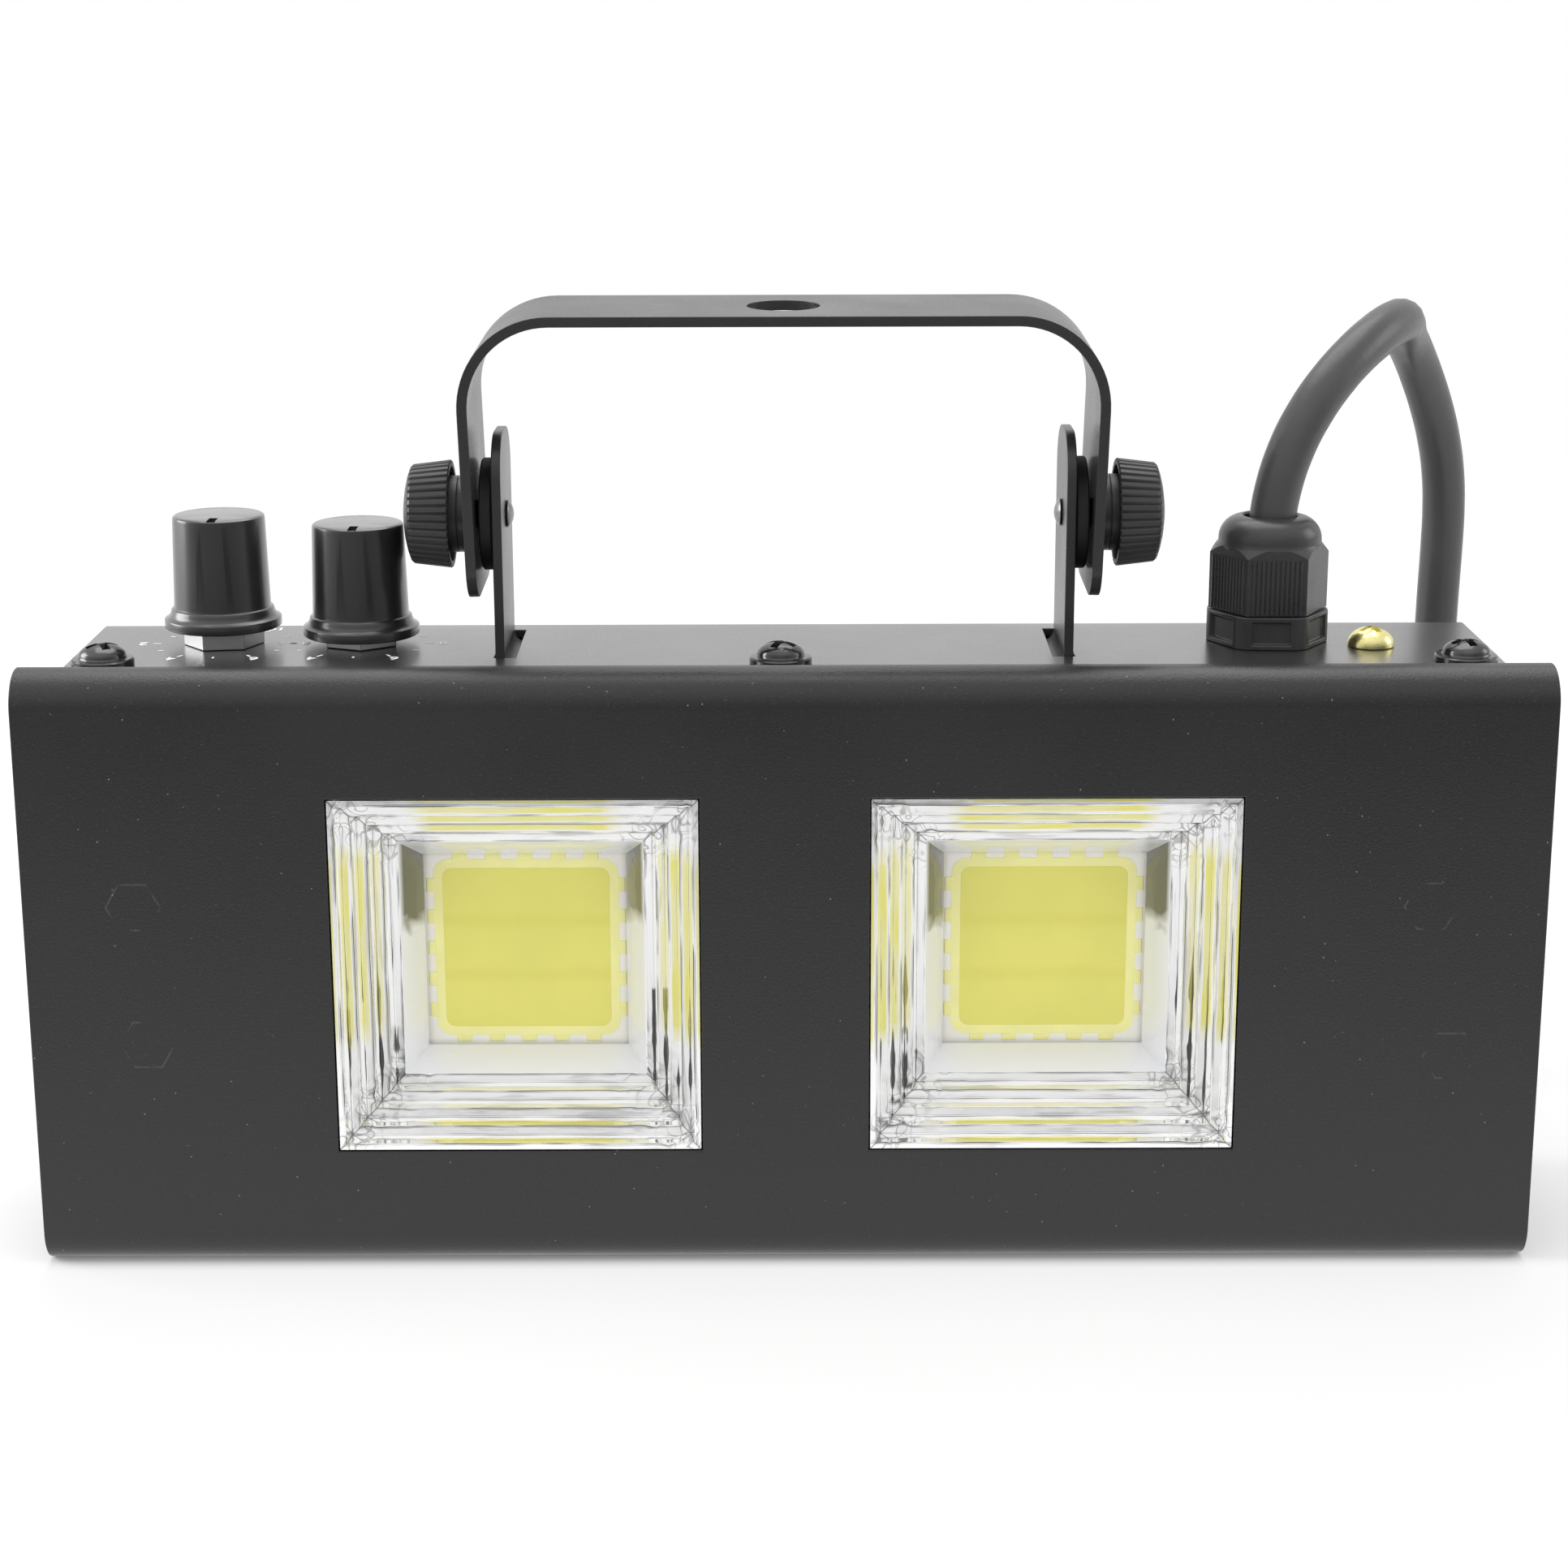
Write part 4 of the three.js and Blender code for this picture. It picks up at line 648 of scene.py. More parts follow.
def rounded_ends(bm, level, setback):
    """Rounds the free corners of a sheet that lie at this height."""
    for vert in [v for v in bm.verts if abs(v.co.z - level) < 0.01 and len(v.link_edges) == 2]:
        rounded(bm, [vert], setback, 10)


satin_coat = surface("satin_coat", tone(46), 0.3, mottle=0.05, patch=20, grain=0.3, bump=0.16, specular=0.48)
for name, sign in sides:
    under = panel_top - chassis_sheet - ear_sheet
    line = [(sign * ear_outer, pivot_y - ear_half, ear_top), (sign * ear_outer, pivot_y - ear_half, under),
            (sign * ear_foot, pivot_y - ear_half, under)]
    ear = folded(line, {1: ear_bend}, 2 * ear_half, axis="Y")
    rounded_ends(ear, ear_top, ear_round)
    outward(ear, (sign, 0, -0.2))
    settled(ear, "bent_ear_" + name, satin_coat, "powder_black", "ear_" + name, edge=0.16, sheet=ear_sheet)

# The yoke: a 21 mm strip of 1.4 mm steel bent to a U, its leg ends rounded, with a 10 mm hole in the middle
# to hang it by. It leans forward by 2.3 degrees, as it was left.
yoke_sheet = 1.4
yoke_splay = math.tan(math.radians(1.4))
yoke_rise = 28.65
yoke_fall = 10.3
yoke_out = 43.4
yoke_half = 10.5
yoke_bend = 12.8
leg_round = 4.5
hole_radius = 5
hole_field = 8
lean = Matrix.Rotation(math.radians(2.3), 4, "X")
top_x = yoke_out + yoke_rise * yoke_splay
foot_x = yoke_out - yoke_fall * yoke_splay
yoke = folded([(foot_x, -yoke_half, -yoke_fall), (top_x, -yoke_half, yoke_rise),
               (-top_x, -yoke_half, yoke_rise), (-foot_x, -yoke_half, -yoke_fall)],
              {1: yoke_bend, 2: yoke_bend}, 2 * yoke_half, axis="Y")
rounded_ends(yoke, -yoke_fall, leg_round)
cut_across(yoke, (1, 0, 0), -hole_field, hole_field)
cut_across(yoke, (0, 1, 0), -hole_field, hole_field)


def hanging_hole(bm, radius, field, level):
    """A round hole in the middle of the strip's top, within the square field that is cut there."""
    middle = min(bm.faces, key=lambda f: (f.calc_center_median() - Vector((0, 0, level))).length)
    square = list(middle.edges)
    bmesh.ops.delete(bm, geom=[middle], context="FACES_ONLY")
    bmesh.ops.subdivide_edges(bm, edges=square, cuts=7)
    ring = [v for v in bm.verts if v.co.z > level - 1 and abs(max(abs(v.co.x), abs(v.co.y)) - field) < 0.01]
    ring.sort(key=lambda v: math.atan2(v.co.y, v.co.x))
    hole = [bm.verts.new(v.co.xy.normalized().to_3d() * radius + Vector((0, 0, level))) for v in ring]
    for i in range(-1, len(ring) - 1):
        bm.faces.new((ring[i], ring[i + 1], hole[i + 1], hole[i]))
    faces_out(bm)


hanging_hole(yoke, hole_radius, hole_field, yoke_rise)
outward(yoke, (0, 0, 1))
moved(yoke, lean, Matrix.Translation((0, pivot_y, pivot_z)))
settled(yoke, "bent_yoke", satin_coat, "powder_black", "yoke", edge=0.18, sheet=yoke_sheet)

# The clamps: each has a rubber spacer between ear and yoke, a black washer, a ribbed nylon knob with a
# recessed back, and an M4 stud of bright steel that shows inside the ear.
ribs = 40
rib_steps = 4
moulded_nylon = surface("moulded_nylon", tone(50), 0.4, patch=7, grain=0.3, bump=0.2, spread=0.08)
soft_rubber = surface("soft_rubber", tone(26), 0.62, patch=6, grain=0.4, bump=0.3)
zinc_steel = surface("zinc_steel", tone(205), 0.36, metal=1.0, mottle=0.04, patch=4, grain=0.6, bump=0.02,
                     spread=0.03)


def edges_in(geom):
    """The edges among what a bmesh operator gives back."""
    return [part for part in geom if isinstance(part, bmesh.types.BMEdge)]


def ribbed_knob(rings):
    """Rings of (radius, height, groove depth) drawn one from the other; every fourth point is a groove."""
    bm = bmesh.new()
    radius, height, _ = rings[0]
    points = ribs * rib_steps
    bmesh.ops.create_circle(bm, cap_ends=False, radius=radius, segments=points,
                            matrix=Matrix.Translation((0, 0, height)))
    edges = bm.edges[:]
    for radius, height, groove in rings[1:]:
        drawn = bmesh.ops.extrude_edge_only(bm, edges=edges)["geom"]
        edges = edges_in(drawn)
        for vert in verts_in(drawn):
            around = math.atan2(vert.co.y, vert.co.x) / (2 * math.pi) * points
            depth = groove if round(around) % rib_steps == 0 else 0
            vert.co.xy = vert.co.xy.normalized() * (radius - depth)
            vert.co.z = height
    bmesh.ops.edgeloop_fill(bm, edges=edges)
    faces_out(bm)
    return bm


stud_steel = surface("stud_steel", tone(150), 0.3, metal=1.0, mottle=0.15, patch=1.5, grain=0.3, bump=0.15)
for name, sign in sides:
    aside = Matrix.Translation((0, pivot_y, pivot_z)) @ Matrix.Rotation(sign * math.pi / 2, 4, "Y")
    spacer = turned([(2.3, 39.85), (7.55, 39.85), (7.75, 40.05), (7.75, 41.4), (7.55, 41.6), (2.3, 41.6),
                     (2.3, 39.85)])
    settled(moved(spacer, aside), "rubber_spacer_" + name, soft_rubber, "black_rubber", "spacer_" + name)
    washer = turned([(2.1, 43.7), (5.28, 43.7), (5.3, 43.75), (5.3, 44.87), (5.28, 44.9), (2.1, 44.9),
                     (2.1, 43.7)])
    settled(moved(washer, aside), "clamp_ring_" + name, satin_coat, "screw_black", "clamp_washer_" + name)
    back = 45.9
    face = 51.2
    knob = ribbed_knob([(2.1, 44.95, 0), (5.3, 44.95, 0), (5.3, back + 1.3, 0), (6.5, back + 1.3, 0),
                        (6.55, back, 0), (7.3, back, 0.2), (7.45, back + 0.15, 0.32), (6.85, face - 0.1, 0.3),
                        (6.55, face + 0.25, 0), (5.6, face + 0.6, 0), (4.2, face + 0.95, 0),
                        (2.5, face + 1.22, 0), (1.0, face + 1.32, 0)])
    settled(moved(knob, aside), "ribbed_knob_" + name, moulded_nylon, "knob_plastic", "clamp_knob_" + name,
            crease=30)
    stud = [(0, 37.35), (0.7, 37.45), (1.5, 37.75), (1.85, 38.0)]
    for thread in range(5):
        stud += [(1.98, 38.1 + thread * 0.7), (1.72, 38.45 + thread * 0.7)]
    stud += [(1.98, 41.6), (1.98, 49.5), (0, 49.5)]
    settled(moved(turned(stud, 32), aside), "threaded_stud_" + name, stud_steel, "bright_steel",
            "clamp_stud_" + name)

# The control knobs: glossy black plastic caps with a flared skirt and a pointer notch, pushed on the shafts
# of two potentiometers. Hexagon nuts hold these in the panel, and a white scale is printed round each.
knob_y = 27
nut_flats = 9.7
nut_high = 2.4
dials = (("speed", -78.6, 85.25, 8), ("sound", -59.3, 84.05, 36))
knob_plastic = surface("knob_plastic_satin", tone(28), 0.34, patch=8, grain=0.25, bump=0.05, spread=0.05,
                       coat=1.0, coat_rough=0.22)


def hexagon(flats, low, high, turn):
    """A hexagon bar across these flats; a corner points along +X before it is turned."""
    bm = bmesh.new()
    radius = flats / math.sqrt(3)
    place = Matrix.Translation((0, 0, (low + high) / 2)) @ Matrix.Rotation(turn - math.pi / 6, 4, "Z")
    bmesh.ops.create_cone(bm, cap_ends=True, segments=6, radius1=radius, radius2=radius, depth=high - low,
                          matrix=place)
    return bm


def pointer_notch(knob, top, half_wide, front, back):
    """Presses the pointer's straight notch into the top of a knob."""
    cut_across(knob, (1, 0, 0), -half_wide, half_wide)
    cut_across(knob, (0, 1, 0), front, back)
    knob.normal_update()
    notch = []
    for f in knob.faces:
        c = f.calc_center_median()
        if f.normal.z > 0.6 and c.z > top - 0.3 and abs(c.x) < half_wide and front < c.y < back:
            notch.append(f)
    sunk = bmesh.ops.extrude_face_region(knob, geom=notch)
    bmesh.ops.translate(knob, vec=(0, 0, -0.5), verts=verts_in(sunk["geom"]))
    bmesh.ops.delete(knob, geom=notch, context="FACES_ONLY")


for name, x, foot, nut_turn in dials:
    top = foot + 15.75
    cap = [(0, top - 2.3), (3.1, top - 2.3), (3.1, foot + 3.9), (6.3, foot + 3.9), (6.35, foot), (7.9, foot),
           (8.1, foot + 0.15), (8.12, foot + 1.15), (8.05, foot + 1.3), (7.7, foot + 1.5), (7.4, foot + 1.75),
           (7.2, foot + 2.2), (7.1, foot + 2.6), (6.98, foot + 2.75), (6.76, foot + 2.85), (6.7, foot + 3.1),
           (6.37, top - 0.55), (6.28, top - 0.22), (6.05, top - 0.05), (5.8, top), (0, top)]
    knob = turned(cap, 72)
    pointer_notch(knob, top, 0.6, -6.2, -3.4)
    moved(knob, Matrix.Translation((x, knob_y, 0)))
    settled(knob, name + "_cap", knob_plastic, "knob_plastic", name + "_knob", crease=35)
    nut = hexagon(nut_flats, panel_top, panel_top + nut_high, math.radians(nut_turn))
    moved(nut, Matrix.Translation((x, knob_y, 0)))
    settled(nut, "hexagon_" + name + "_nut", zinc_steel, "bright_steel", name + "_nut", edge=0.2)
dressed(zinc_steel, "speed_shaft", "sound_shaft", "potentiometer_speed", "potentiometer_sound")
white_ink = surface("white_ink", tone(250), 0.6, mottle=0.05, patch=0.6, grain=0.2, bump=0.1)
tick_radius = 8.9
number_radius = 11.4
ink = 0.01
scale_start = 30
scale_step = 30
marks = []
for _, x, _, _ in dials:
    centre = Matrix.Translation((x, knob_y, panel_top + ink))
    for step in range(11):
        long = 1.2 if step % 2 == 0 else 0.8
        tick = bmesh.new()
        bmesh.ops.create_cube(tick, size=1, matrix=Matrix.Translation((0, tick_radius + long / 2, ink))
                              @ Matrix.Diagonal((0.32, long, 2 * ink, 1)))
        way = math.radians(scale_start + scale_step * step)
        marks.append(moved(tick, Matrix.Rotation(way, 4, "Z"), centre))
    for value in range(0, 11, 2):
        words = bpy.data.curves.new("scale_number", "FONT")
        words.body = str(value)
        words.size = 2.6
        words.extrude = ink
        words.offset = 0.05
        words.align_x = words.align_y = "CENTER"
        written = bpy.data.objects.new("scale_number", words)
        number = bmesh.new()
        number.from_mesh(bpy.data.meshes.new_from_object(written))
        way = math.radians(scale_start + scale_step * value)
        beside = Matrix.Translation((-number_radius * math.sin(way), number_radius * math.cos(way), ink))
        marks.append(moved(number, Matrix.Rotation(math.pi, 4, "Z"), beside, centre))
        bpy.data.objects.remove(written)
settled(joined(*marks), "dial_scales", white_ink, None, "chassis")

# The cable gland: black nylon, a hexagon body with recessed flats through the panel and a domed hexagon
# cap that squeezes a rubber seal on the lead. The cap has fine grip ribs on some of its flats.
gland_nylon = surface("gland_polyamide", tone(53), 0.3, patch=6, grain=0.25, bump=0.15, spread=0.07)
GLAND = Matrix.Translation((gland_x, gland_y, 0))


def trimmed(bm, radius, height, slope, sides):
    """Turns down a bar: planes that lean by slope pass this radius at this height."""
    for side in range(sides):
        angle = 2 * math.pi * side / sides
        outside = Vector((math.cos(angle), math.sin(angle), math.tan(slope))).normalized()
        spot = Vector((radius * math.cos(angle), radius * math.sin(angle), height))
        everything = bm.verts[:] + bm.edges[:] + bm.faces[:]
        sliced = bmesh.ops.bisect_plane(bm, geom=everything, dist=0.0001, plane_co=spot, plane_no=outside,
                                        clear_outer=True)
        rim = edges_in(sliced["geom_cut"])
        if rim:
            bmesh.ops.edgeloop_fill(bm, edges=rim)
    return bm


body_flats, body_top = 15.4, 87.2
body_turn = math.radians(-3.6)
stem_foot, stem_top = 74.6, 86
bore = 4.5
body = trimmed(hexagon(body_flats, panel_top, body_top, body_turn), 8.4, 85, 0.0, 60)
body.normal_update()
flats = [f for f in body.faces if abs(f.normal.z) < 0.1 and f.calc_area() > 20]
for border, sunk_by in ((0.7, 0), (0.12, -0.45)):
    bmesh.ops.inset_individual(body, faces=flats, thickness=border, depth=sunk_by, use_even_offset=True)
stem = turned([(bore, stem_foot), (6.1, stem_foot), (6.1, stem_top), (bore, stem_top), (bore, stem_foot)], 48)
settled(moved(joined(body, stem), GLAND), "gland_hexagon", gland_nylon, "gland_nylon", "gland_body", edge=0.2)
cap_flats = 14.4
cap_turn = math.radians(1)
cap_slope = math.radians(38)
cap_foot, cap_shoulder, cap_top = 87.35, 96.45, 100.35
throat, round_over = 3.75, 3.2
rib_pitch = 0.66
cap = trimmed(hexagon(cap_flats, cap_foot, cap_shoulder, cap_turn), 7.35, cap_shoulder, cap_slope, 72)
crown_line = [(throat, cap_top - 4), (throat, cap_top - 0.25), (throat + 0.2, cap_top)]
for step in range(1, 9):
    angle = step * math.pi / 16
    crown_line.append((throat + 0.2 + round_over * math.sin(angle),
                       cap_top - round_over + round_over * math.cos(angle)))
crown_line += [(7.15, cap_shoulder + 0.3), (7.3, cap_shoulder), (7.1, cap_shoulder - 1),
               (throat, cap_shoulder - 1), (throat, cap_top - 4)]
crown = turned(crown_line, 72)
ribbing = []
for side in (3, 4, 0, 1):
    middle = cap_turn + math.pi / 6 + side * math.pi / 3
    for row in range(-5, 6):
        rib = bmesh.new()
        bmesh.ops.create_cone(rib, cap_ends=True, segments=8, radius1=0.26, radius2=0.24, depth=7.5)
        moved(rib, Matrix.Translation((cap_flats / 2, row * rib_pitch, cap_foot + 3.95)),
              Matrix.Rotation(middle, 4, "Z"))
        ribbing.append(rib)
cap = joined(cap, crown, *ribbing)
settled(moved(cap, GLAND), "domed_gland_cap", gland_nylon, "gland_nylon", "gland_cap", crease=32)
dressed(gland_nylon, "gland_locknut")
dressed(soft_rubber, "gland_seal")
dressed(pvc_jacket, "inner_lead")

# The earth screw: brass, turned with a domed head and pressed with a cross recess. It goes through the top
# panel, and a brass nut holds it there.
bright_brass = surface("bright_brass", tone(248, 238, 166), 0.26, metal=1.0, mottle=0.06, patch=2, grain=0.6,
                       bump=0.12)
shank = [(0, panel_top - 9), (2, panel_top - 9), (2, panel_top), (3.1, panel_top), (3.25, panel_top + 0.15)]
earth = turned(shank + dome(3.25, 2.5, panel_top + 0.2), 56)
cross_recess(earth, panel_top + 2.7, 3.6, 0.9, 1.2, math.radians(27))
moved(earth, Matrix.Translation((81.7, 23.5, 0)))
settled(earth, "brass_earth_screw", bright_brass, "brass", "earth_screw", edge=0.07)
dressed(bright_brass, "earth_nut")

# The lenses: clear acrylic mouldings that step down from the window to the emitter in four square stairs and
# a plain inner wall, held by a flange behind the cover. Their stairs reflect the emitter's yellow as bright
# stripes; the material paints these reflections, and the white highlights and dark shade lines between them.
lens_half = 23.9
lens_front = 0.15
lens_back = 17.9
flange_half = 27.15
stair_in = 1.75
stair_deep = 2.85
stair_long = stair_in + stair_deep
lens_drop = 1.5 / (lens_back - lens_front)
lens_rings = [(24.85, 1.7), (24.85, lens_front), (lens_half, lens_front)]
for stair in range(4):
    half = lens_half - stair_in * stair
    deep = lens_front + stair_deep * stair
    lens_rings += [(half - 0.55, deep + 2.55), (half - stair_in, deep + stair_deep)]
lens_rings += [(14.2, 16.7), (14.2, lens_back), (15.9, lens_back), (25.4, 3.0), (flange_half, 3.0),
               (flange_half, 1.7), (24.85, 1.7)]


def square_stair(rings, centre_x, centre_z):
    """Square rings of (half size, depth), each drawn from the one before; the centre drops with depth."""
    bm = bmesh.new()
    bmesh.ops.create_grid(bm, x_segments=1, y_segments=1, size=1, matrix=Matrix.Rotation(math.pi / 2, 4, "X"))
    bmesh.ops.delete(bm, geom=bm.faces[:], context="FACES_ONLY")
    squares = [bm.verts[:]]
    edges = bm.edges[:]
    for _ in rings[1:]:
        drawn = bmesh.ops.extrude_edge_only(bm, edges=edges)["geom"]
        edges = edges_in(drawn)
        squares.append(verts_in(drawn))
    for square, (half_size, depth) in zip(squares, rings):
        fall = max(0.0, lens_drop * (depth - lens_front))
        for vert in square:
            vert.co = (centre_x + vert.co.x * half_size, depth, centre_z - fall + vert.co.z * half_size)
    return bm


acrylic = surface("clear_acrylic", tone(240, 241, 238), 0.06, mottle=0.02, patch=5, grain=0.8, bump=0.0,
                  spread=0.03, coat=0.6, coat_rough=0.02)
tree = acrylic.node_tree
shader = tree.nodes["Principled BSDF"]
spot, at_x, at_y, at_z = place_in(tree)
deep = at_y - (BACK + lens_front) * MM
side_x = abs(at_x) - window_x * MM
side_z = at_z - window_z * MM + deep * lens_drop
wide_x = abs(side_x)
wide_z = abs(side_z)
at_side = wide_x > wide_z
at_level = 1.0 - at_side
out = wide_x.or_more(wide_z)
across = wide_x.or_less(wide_z)
run = lens_half * MM - out + deep

# The stairs' painted highlights and shade lines wander a little, most at the corners, and each stair has the
# same run of painted light and dark tones.
wave = noise_of(tree, spot, 12, 1)
swirl = noise_of(tree, spot, 4.0, 1, distortion=0.8)
level_streaks = noise_of(tree, stretched(tree, spot, (0.1, 0.4, 1)), 1.1, 2)
side_streaks = noise_of(tree, stretched(tree, spot, (1, 0.4, 0.1)), 1.1, 2)
streaks = level_streaks * at_level + side_streaks * at_side
corner = (out - across).ranged(0.5 * MM, 9 * MM, 1, 0)
shake = (swirl - 0.5) * (corner * (2.2 * MM)) + (wave - 0.5) * (0.5 * MM)
stair_part = ((run + shake) / (stair_long * MM)).fraction()
stair_no = (run / (stair_long * MM)).whole()
stops = [(0.0, 90), (0.02, 240), (0.05, 254), (0.4, 252), (0.56, 240), (0.59, 232), (0.6, 84), (0.615, 88),
         (0.63, 250), (0.69, 252), (0.7, 148), (0.712, 250), (0.88, 253), (0.92, 248), (0.935, 128),
         (0.95, 246), (0.985, 70)]
lines = tree.nodes.new("ShaderNodeValToRGB")
stair_part.feeds(lines.inputs["Fac"])
for position, _ in stops[1:-1]:
    lines.color_ramp.elements.new(position)
for element, (position, level) in zip(lines.color_ramp.elements, stops):
    element.position = position
    element.color = tone(level)
# Streaks of painted highlight, white and grey, run along the stairs.
drawn_lines = mixed(streaks.ranged(0.42, 0.54, 0.1, 1), tone(254), lines.outputs["Color"])
drawn_lines = mixed(streaks.ranged(0.6, 0.68, 0, 0.4), drawn_lines, tone(176))

# Painted shade: dark lines at the stairs' edges, thicker low at the sides, swirls of shade in the corners,
# and the mitres.
low = at_side * side_z.ranged(-4 * MM, 3 * MM, 1, 0) * side_z.ranged(-21 * MM, -16 * MM, 0, 1)
dark_edge = abs(stair_part - 0.64) - streaks.ranged(0.42, 0.6, 0.0, 0.14) * low
drawn_lines = mixed(dark_edge.ranged(0, 0.02, 1, 0), drawn_lines, tone(74))
swirl_shade = abs((swirl * 7).fraction() - 0.5)
drawn_lines = mixed(swirl_shade.ranged(0.04, 0.16, 0.6, 0) * corner.ranged(0.45, 0.85, 0, 1), drawn_lines, tone(132))
mitre = abs(wide_x - wide_z).ranged(0.06 * MM, 0.16 * MM, 0.75, 0)
drawn_lines = mixed(mitre, drawn_lines, tone(104))

# The painted reflections of the emitter's yellow: in the middle of each side, on the two outer stairs, and
# above and beside the emitter also on the third.
along = at_side * abs(side_z - 3.5 * MM) + at_level * across + swirl * (3 * MM)
in_middle = along.ranged(13 * MM, 16 * MM, 1, 0)
at_top = at_level * (side_z > 0.0)
third = at_top.or_more(at_side * 0.7) * stair_no.ranged(2.4, 2.6, 1, 0)
outer_stairs = stair_no.ranged(1.4, 1.6, 1, 0).or_more(third)
wall_reflection = stair_part.ranged(0.1, 0.16, 0, 0.75) * stair_part.ranged(0.4, 0.46, 1, 0)
ledge_reflection = stair_part.ranged(0.64, 0.68, 0, 1) * stair_part.ranged(0.86, 0.9, 1, 0)
high_up = at_top.or_more(at_side)
yellow_reflection = ledge_reflection * high_up + wall_reflection * (1.0 - high_up)
yellow_reflection = yellow_reflection * in_middle * outer_stairs * streaks.ranged(0.36, 0.6, 0.95, 0.6)

# The inner wall is plain, with a painted dark reflection high at each side. It doesn't mirror as the stairs
# do, and the lower inner stairs mirror less.
innermost = stair_no.ranged(3.4, 3.6, 0, 1)
upper = (side_z + swirl * (5 * MM)).ranged(6 * MM, 8.5 * MM, 0, 1)
dark_reflection = upper * at_side * out.ranged(16.4 * MM, 16.9 * MM, 1, 0)
plain = mixed(innermost, drawn_lines, mixed(dark_reflection, tone(241, 242, 250), tone(104)))
# Over all of it lie the painted yellow reflections.
tree.links.new(mixed(yellow_reflection, plain, tone(238, 232, 118)), shader.inputs["Base Color"])
below = at_level * side_z.ranged(-1 * MM, 0, 1, 0) * stair_no.ranged(1.4, 1.6, 0, 0.45)
mirror = stair_no.ranged(3.4, 3.6, 0.8, 0.0) - below
mirror.or_more(0.0).feeds(shader.inputs["Metallic"])
dented(swirl * (corner + 0.15), 0.4, 0.25 * MM)
for name, sign in sides:
    lens = square_stair(lens_rings, sign * window_x, window_z)
    bmesh.ops.remove_doubles(lens, verts=lens.verts[:], dist=0.004)
    faces_out(lens)
    settled(lens, "stepped_lens_" + name, acrylic, "lens_clear", "lens_" + name, edge=0.14)

# The emitters: a white plastic frame with yellow-filled notches round a silicone pool over the chips, on
# an aluminium plate. It lies on a heat sink, which a screw through the rear wall holds.
emitter_z = 40.5
chip_row = 4.0
tooth_out = 13.4
tooth_pitch = 4.6
phosphor_gel = surface("phosphor_gel", tone(224, 219, 113), 0.35, mottle=0.03, patch=14, grain=1.5, bump=0.05,
                       specular=0.4)
tree = phosphor_gel.node_tree
shader = tree.nodes["Principled BSDF"]
spot, _, _, at_z = place_in(tree)
drift = noise_of(tree, spot, 6, 2) * (0.8 * MM)
row = abs(abs(at_z + drift - (emitter_z + 0.4) * MM) - chip_row * MM)
gel = shader.inputs["Base Color"].links[0].from_socket
chips = mixed(row.ranged(0.3 * MM, 1.4 * MM, 0.35, 0), gel, tone(214, 208, 92))
tree.links.new(chips, shader.inputs["Base Color"])
gel_rim = surface("gel_rim", tone(240, 236, 160), 0.35, mottle=0.03, patch=5, grain=0.8, bump=0.08)
frame_white = surface("frame_white", tone(238, 236, 226), 0.45, mottle=0.02, patch=6, grain=0.4, bump=0.1)
tooth_yellow = surface("tooth_yellow", tone(238, 235, 158), 0.4, mottle=0.03, patch=3, grain=0.4, bump=0.1)
aluminium = surface("milled_aluminium", tone(188, 190, 192), 0.34, metal=1.0, patch=6, grain=0.4,
                    stretch=(1, 1, 8))


def rounded_square(half_size, corner, x, depth, z):
    """A flat square with rounded corners, facing the viewer."""
    bm = bmesh.new()
    bmesh.ops.create_grid(bm, x_segments=1, y_segments=1, size=half_size,
                          matrix=Matrix.Translation((x, depth, z)) @ Matrix.Rotation(math.pi / 2, 4, "X"))
    rounded(bm, bm.verts[:], corner, 8)
    return bm


def drawn_back(bm, depth):
    """Gives a flat form its thickness, away from the viewer."""
    grown = bmesh.ops.extrude_face_region(bm, geom=bm.faces[:])
    bmesh.ops.translate(bm, vec=(0, depth, 0), verts=verts_in(grown["geom"]))
    faces_out(bm)
    return bm


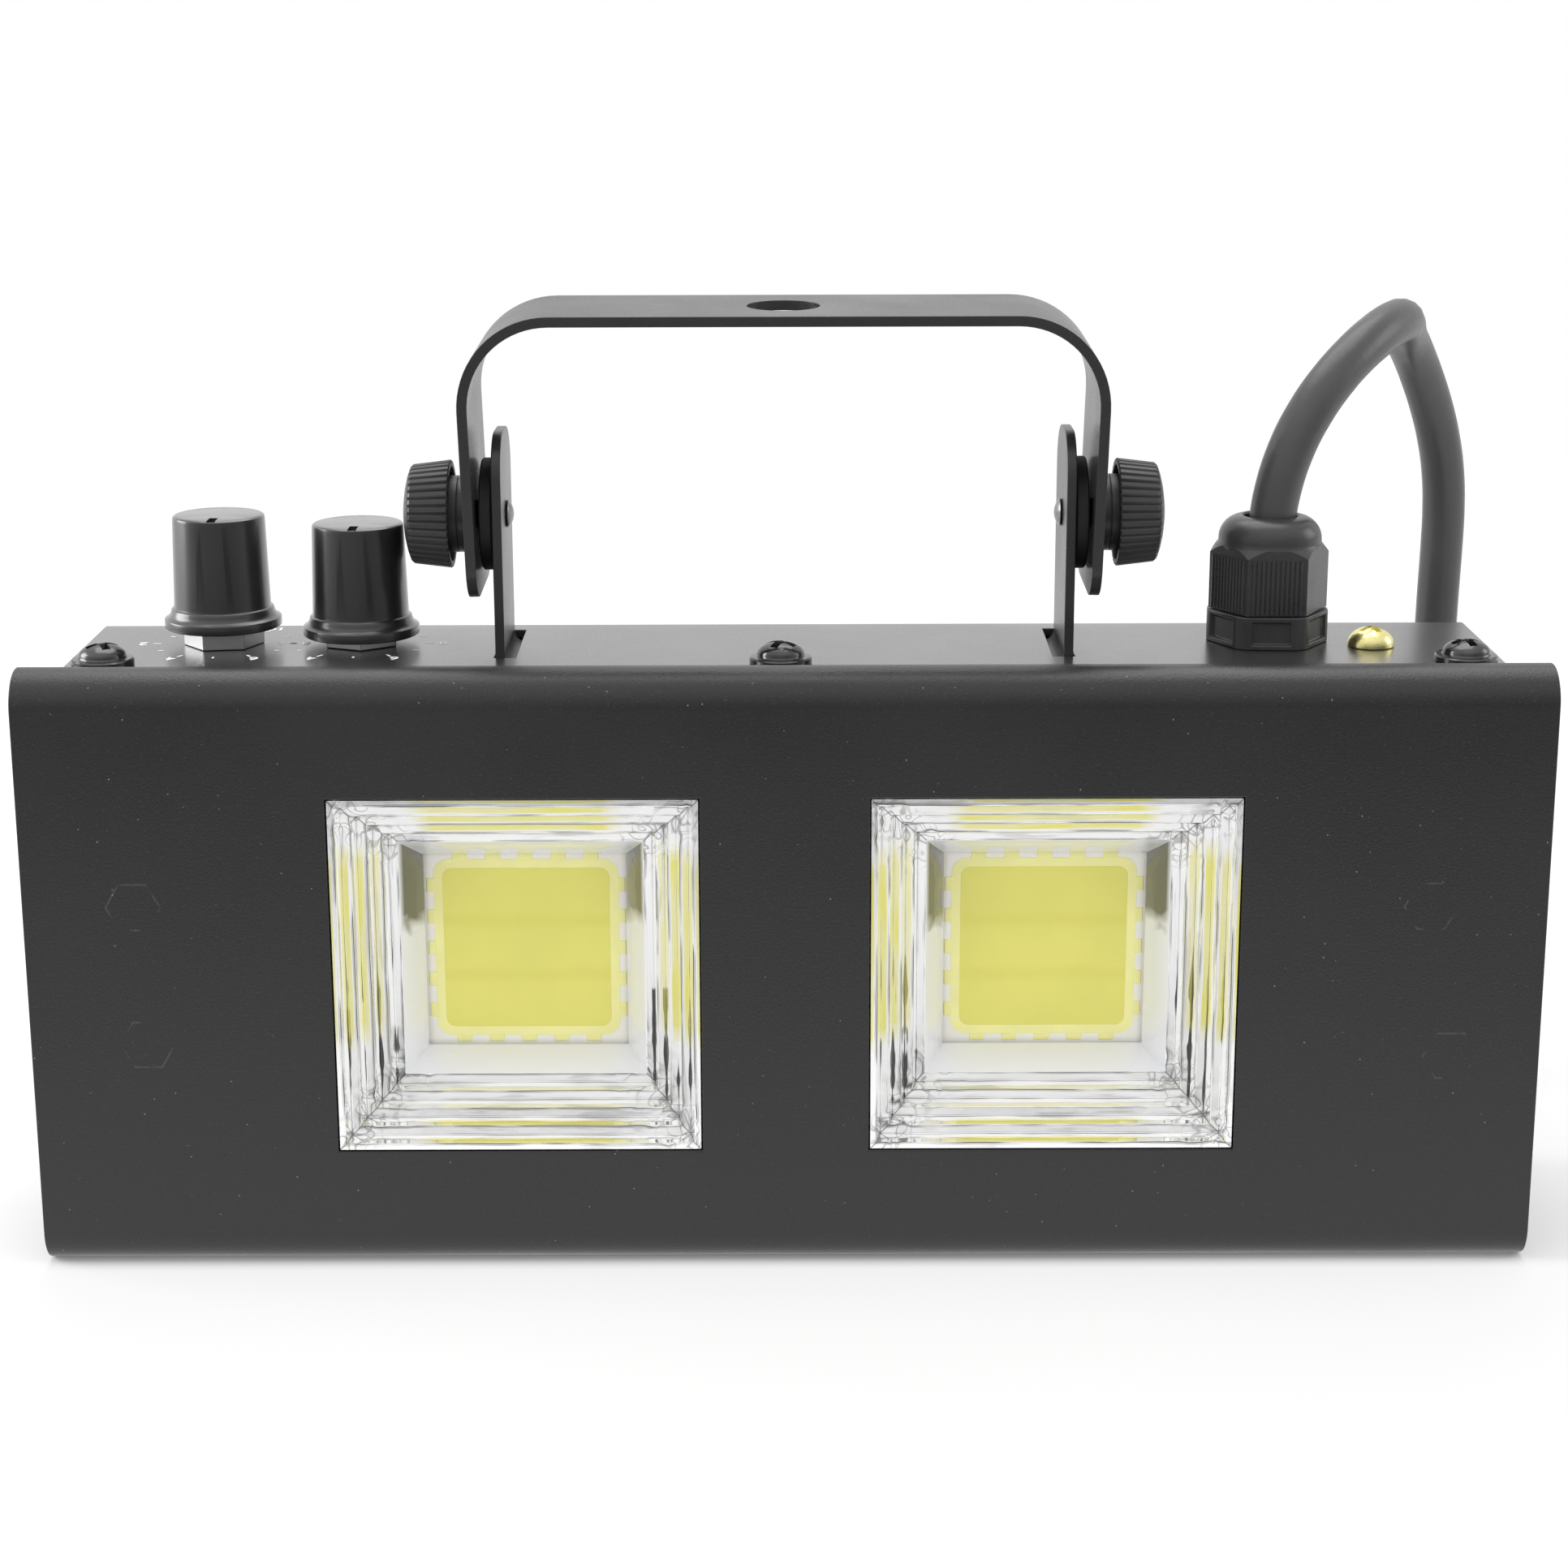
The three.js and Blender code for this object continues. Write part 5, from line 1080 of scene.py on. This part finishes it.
for name, sign in sides:
    x = sign * window_x
    board = drawn_back(rounded_square(15.2, 0.8, x, 18.35, emitter_z), 1.05)
    settled(board, "emitter_board_" + name, frame_white, "white_plastic", "emitter_frame_" + name, edge=0.15)
    teeth = []
    for side in range(4):
        for place in range(-2, 3):
            tooth = bmesh.new()
            bmesh.ops.create_cube(tooth, size=1, matrix=Matrix.Diagonal((2.1, 0.5, 1.1, 1)))
            moved(tooth, Matrix.Translation((place * tooth_pitch, 18.5, tooth_out)),
                  Matrix.Rotation(side * math.pi / 2, 4, "Y"), Matrix.Translation((x, 0, emitter_z)))
            teeth.append(tooth)
    settled(joined(*teeth), "emitter_teeth_" + name, tooth_yellow, "phosphor_yellow", "emitter_frame_" + name,
            edge=0.1)
    rim = rounded_square(13.0, 2.2, x, 18.25, emitter_z)
    inner = bmesh.ops.inset_region(rim, faces=rim.faces[:], thickness=0.55, depth=0.12, use_even_offset=True)
    middle = [f for f in rim.faces if f not in inner["faces"]]
    bmesh.ops.inset_region(rim, faces=middle, thickness=0.75, depth=-0.18, use_even_offset=True)
    settled(rim, "gel_rim_" + name, gel_rim, "phosphor_yellow", "emitter_phosphor_" + name, edge=0.1)
    pool = drawn_back(rounded_square(11.75, 1.4, x, 18.28, emitter_z), 1.0)
    settled(pool, "gel_pool_" + name, phosphor_gel, "phosphor_yellow", "emitter_phosphor_" + name, edge=0.1)
dressed(aluminium, "emitter_base_left", "emitter_base_right", "heat_sink_left", "heat_sink_right")
dressed(zinc_steel, "heat_sink_screw_left", "heat_sink_screw_right", "microphone")

# The boards inside: glass-epoxy laminate in green, with a transformer wound in yellow tape and a capacitor in
# a black sleeve.
green_board = surface("solder_mask", tone(30, 92, 54), 0.32, mottle=0.12, patch=2, grain=0.3, bump=0.2)
winding_tape = surface("winding_tape", tone(214, 178, 62), 0.5, mottle=0.1, patch=3, grain=0.3,
                       stretch=(1, 1, 6))
sleeve_black = surface("capacitor_sleeve", tone(38, 40, 48), 0.3, mottle=0.1, patch=4)
dressed(green_board, "control_board", "driver_board")
dressed(winding_tape, "driver_transformer")
dressed(sleeve_black, "driver_capacitor")
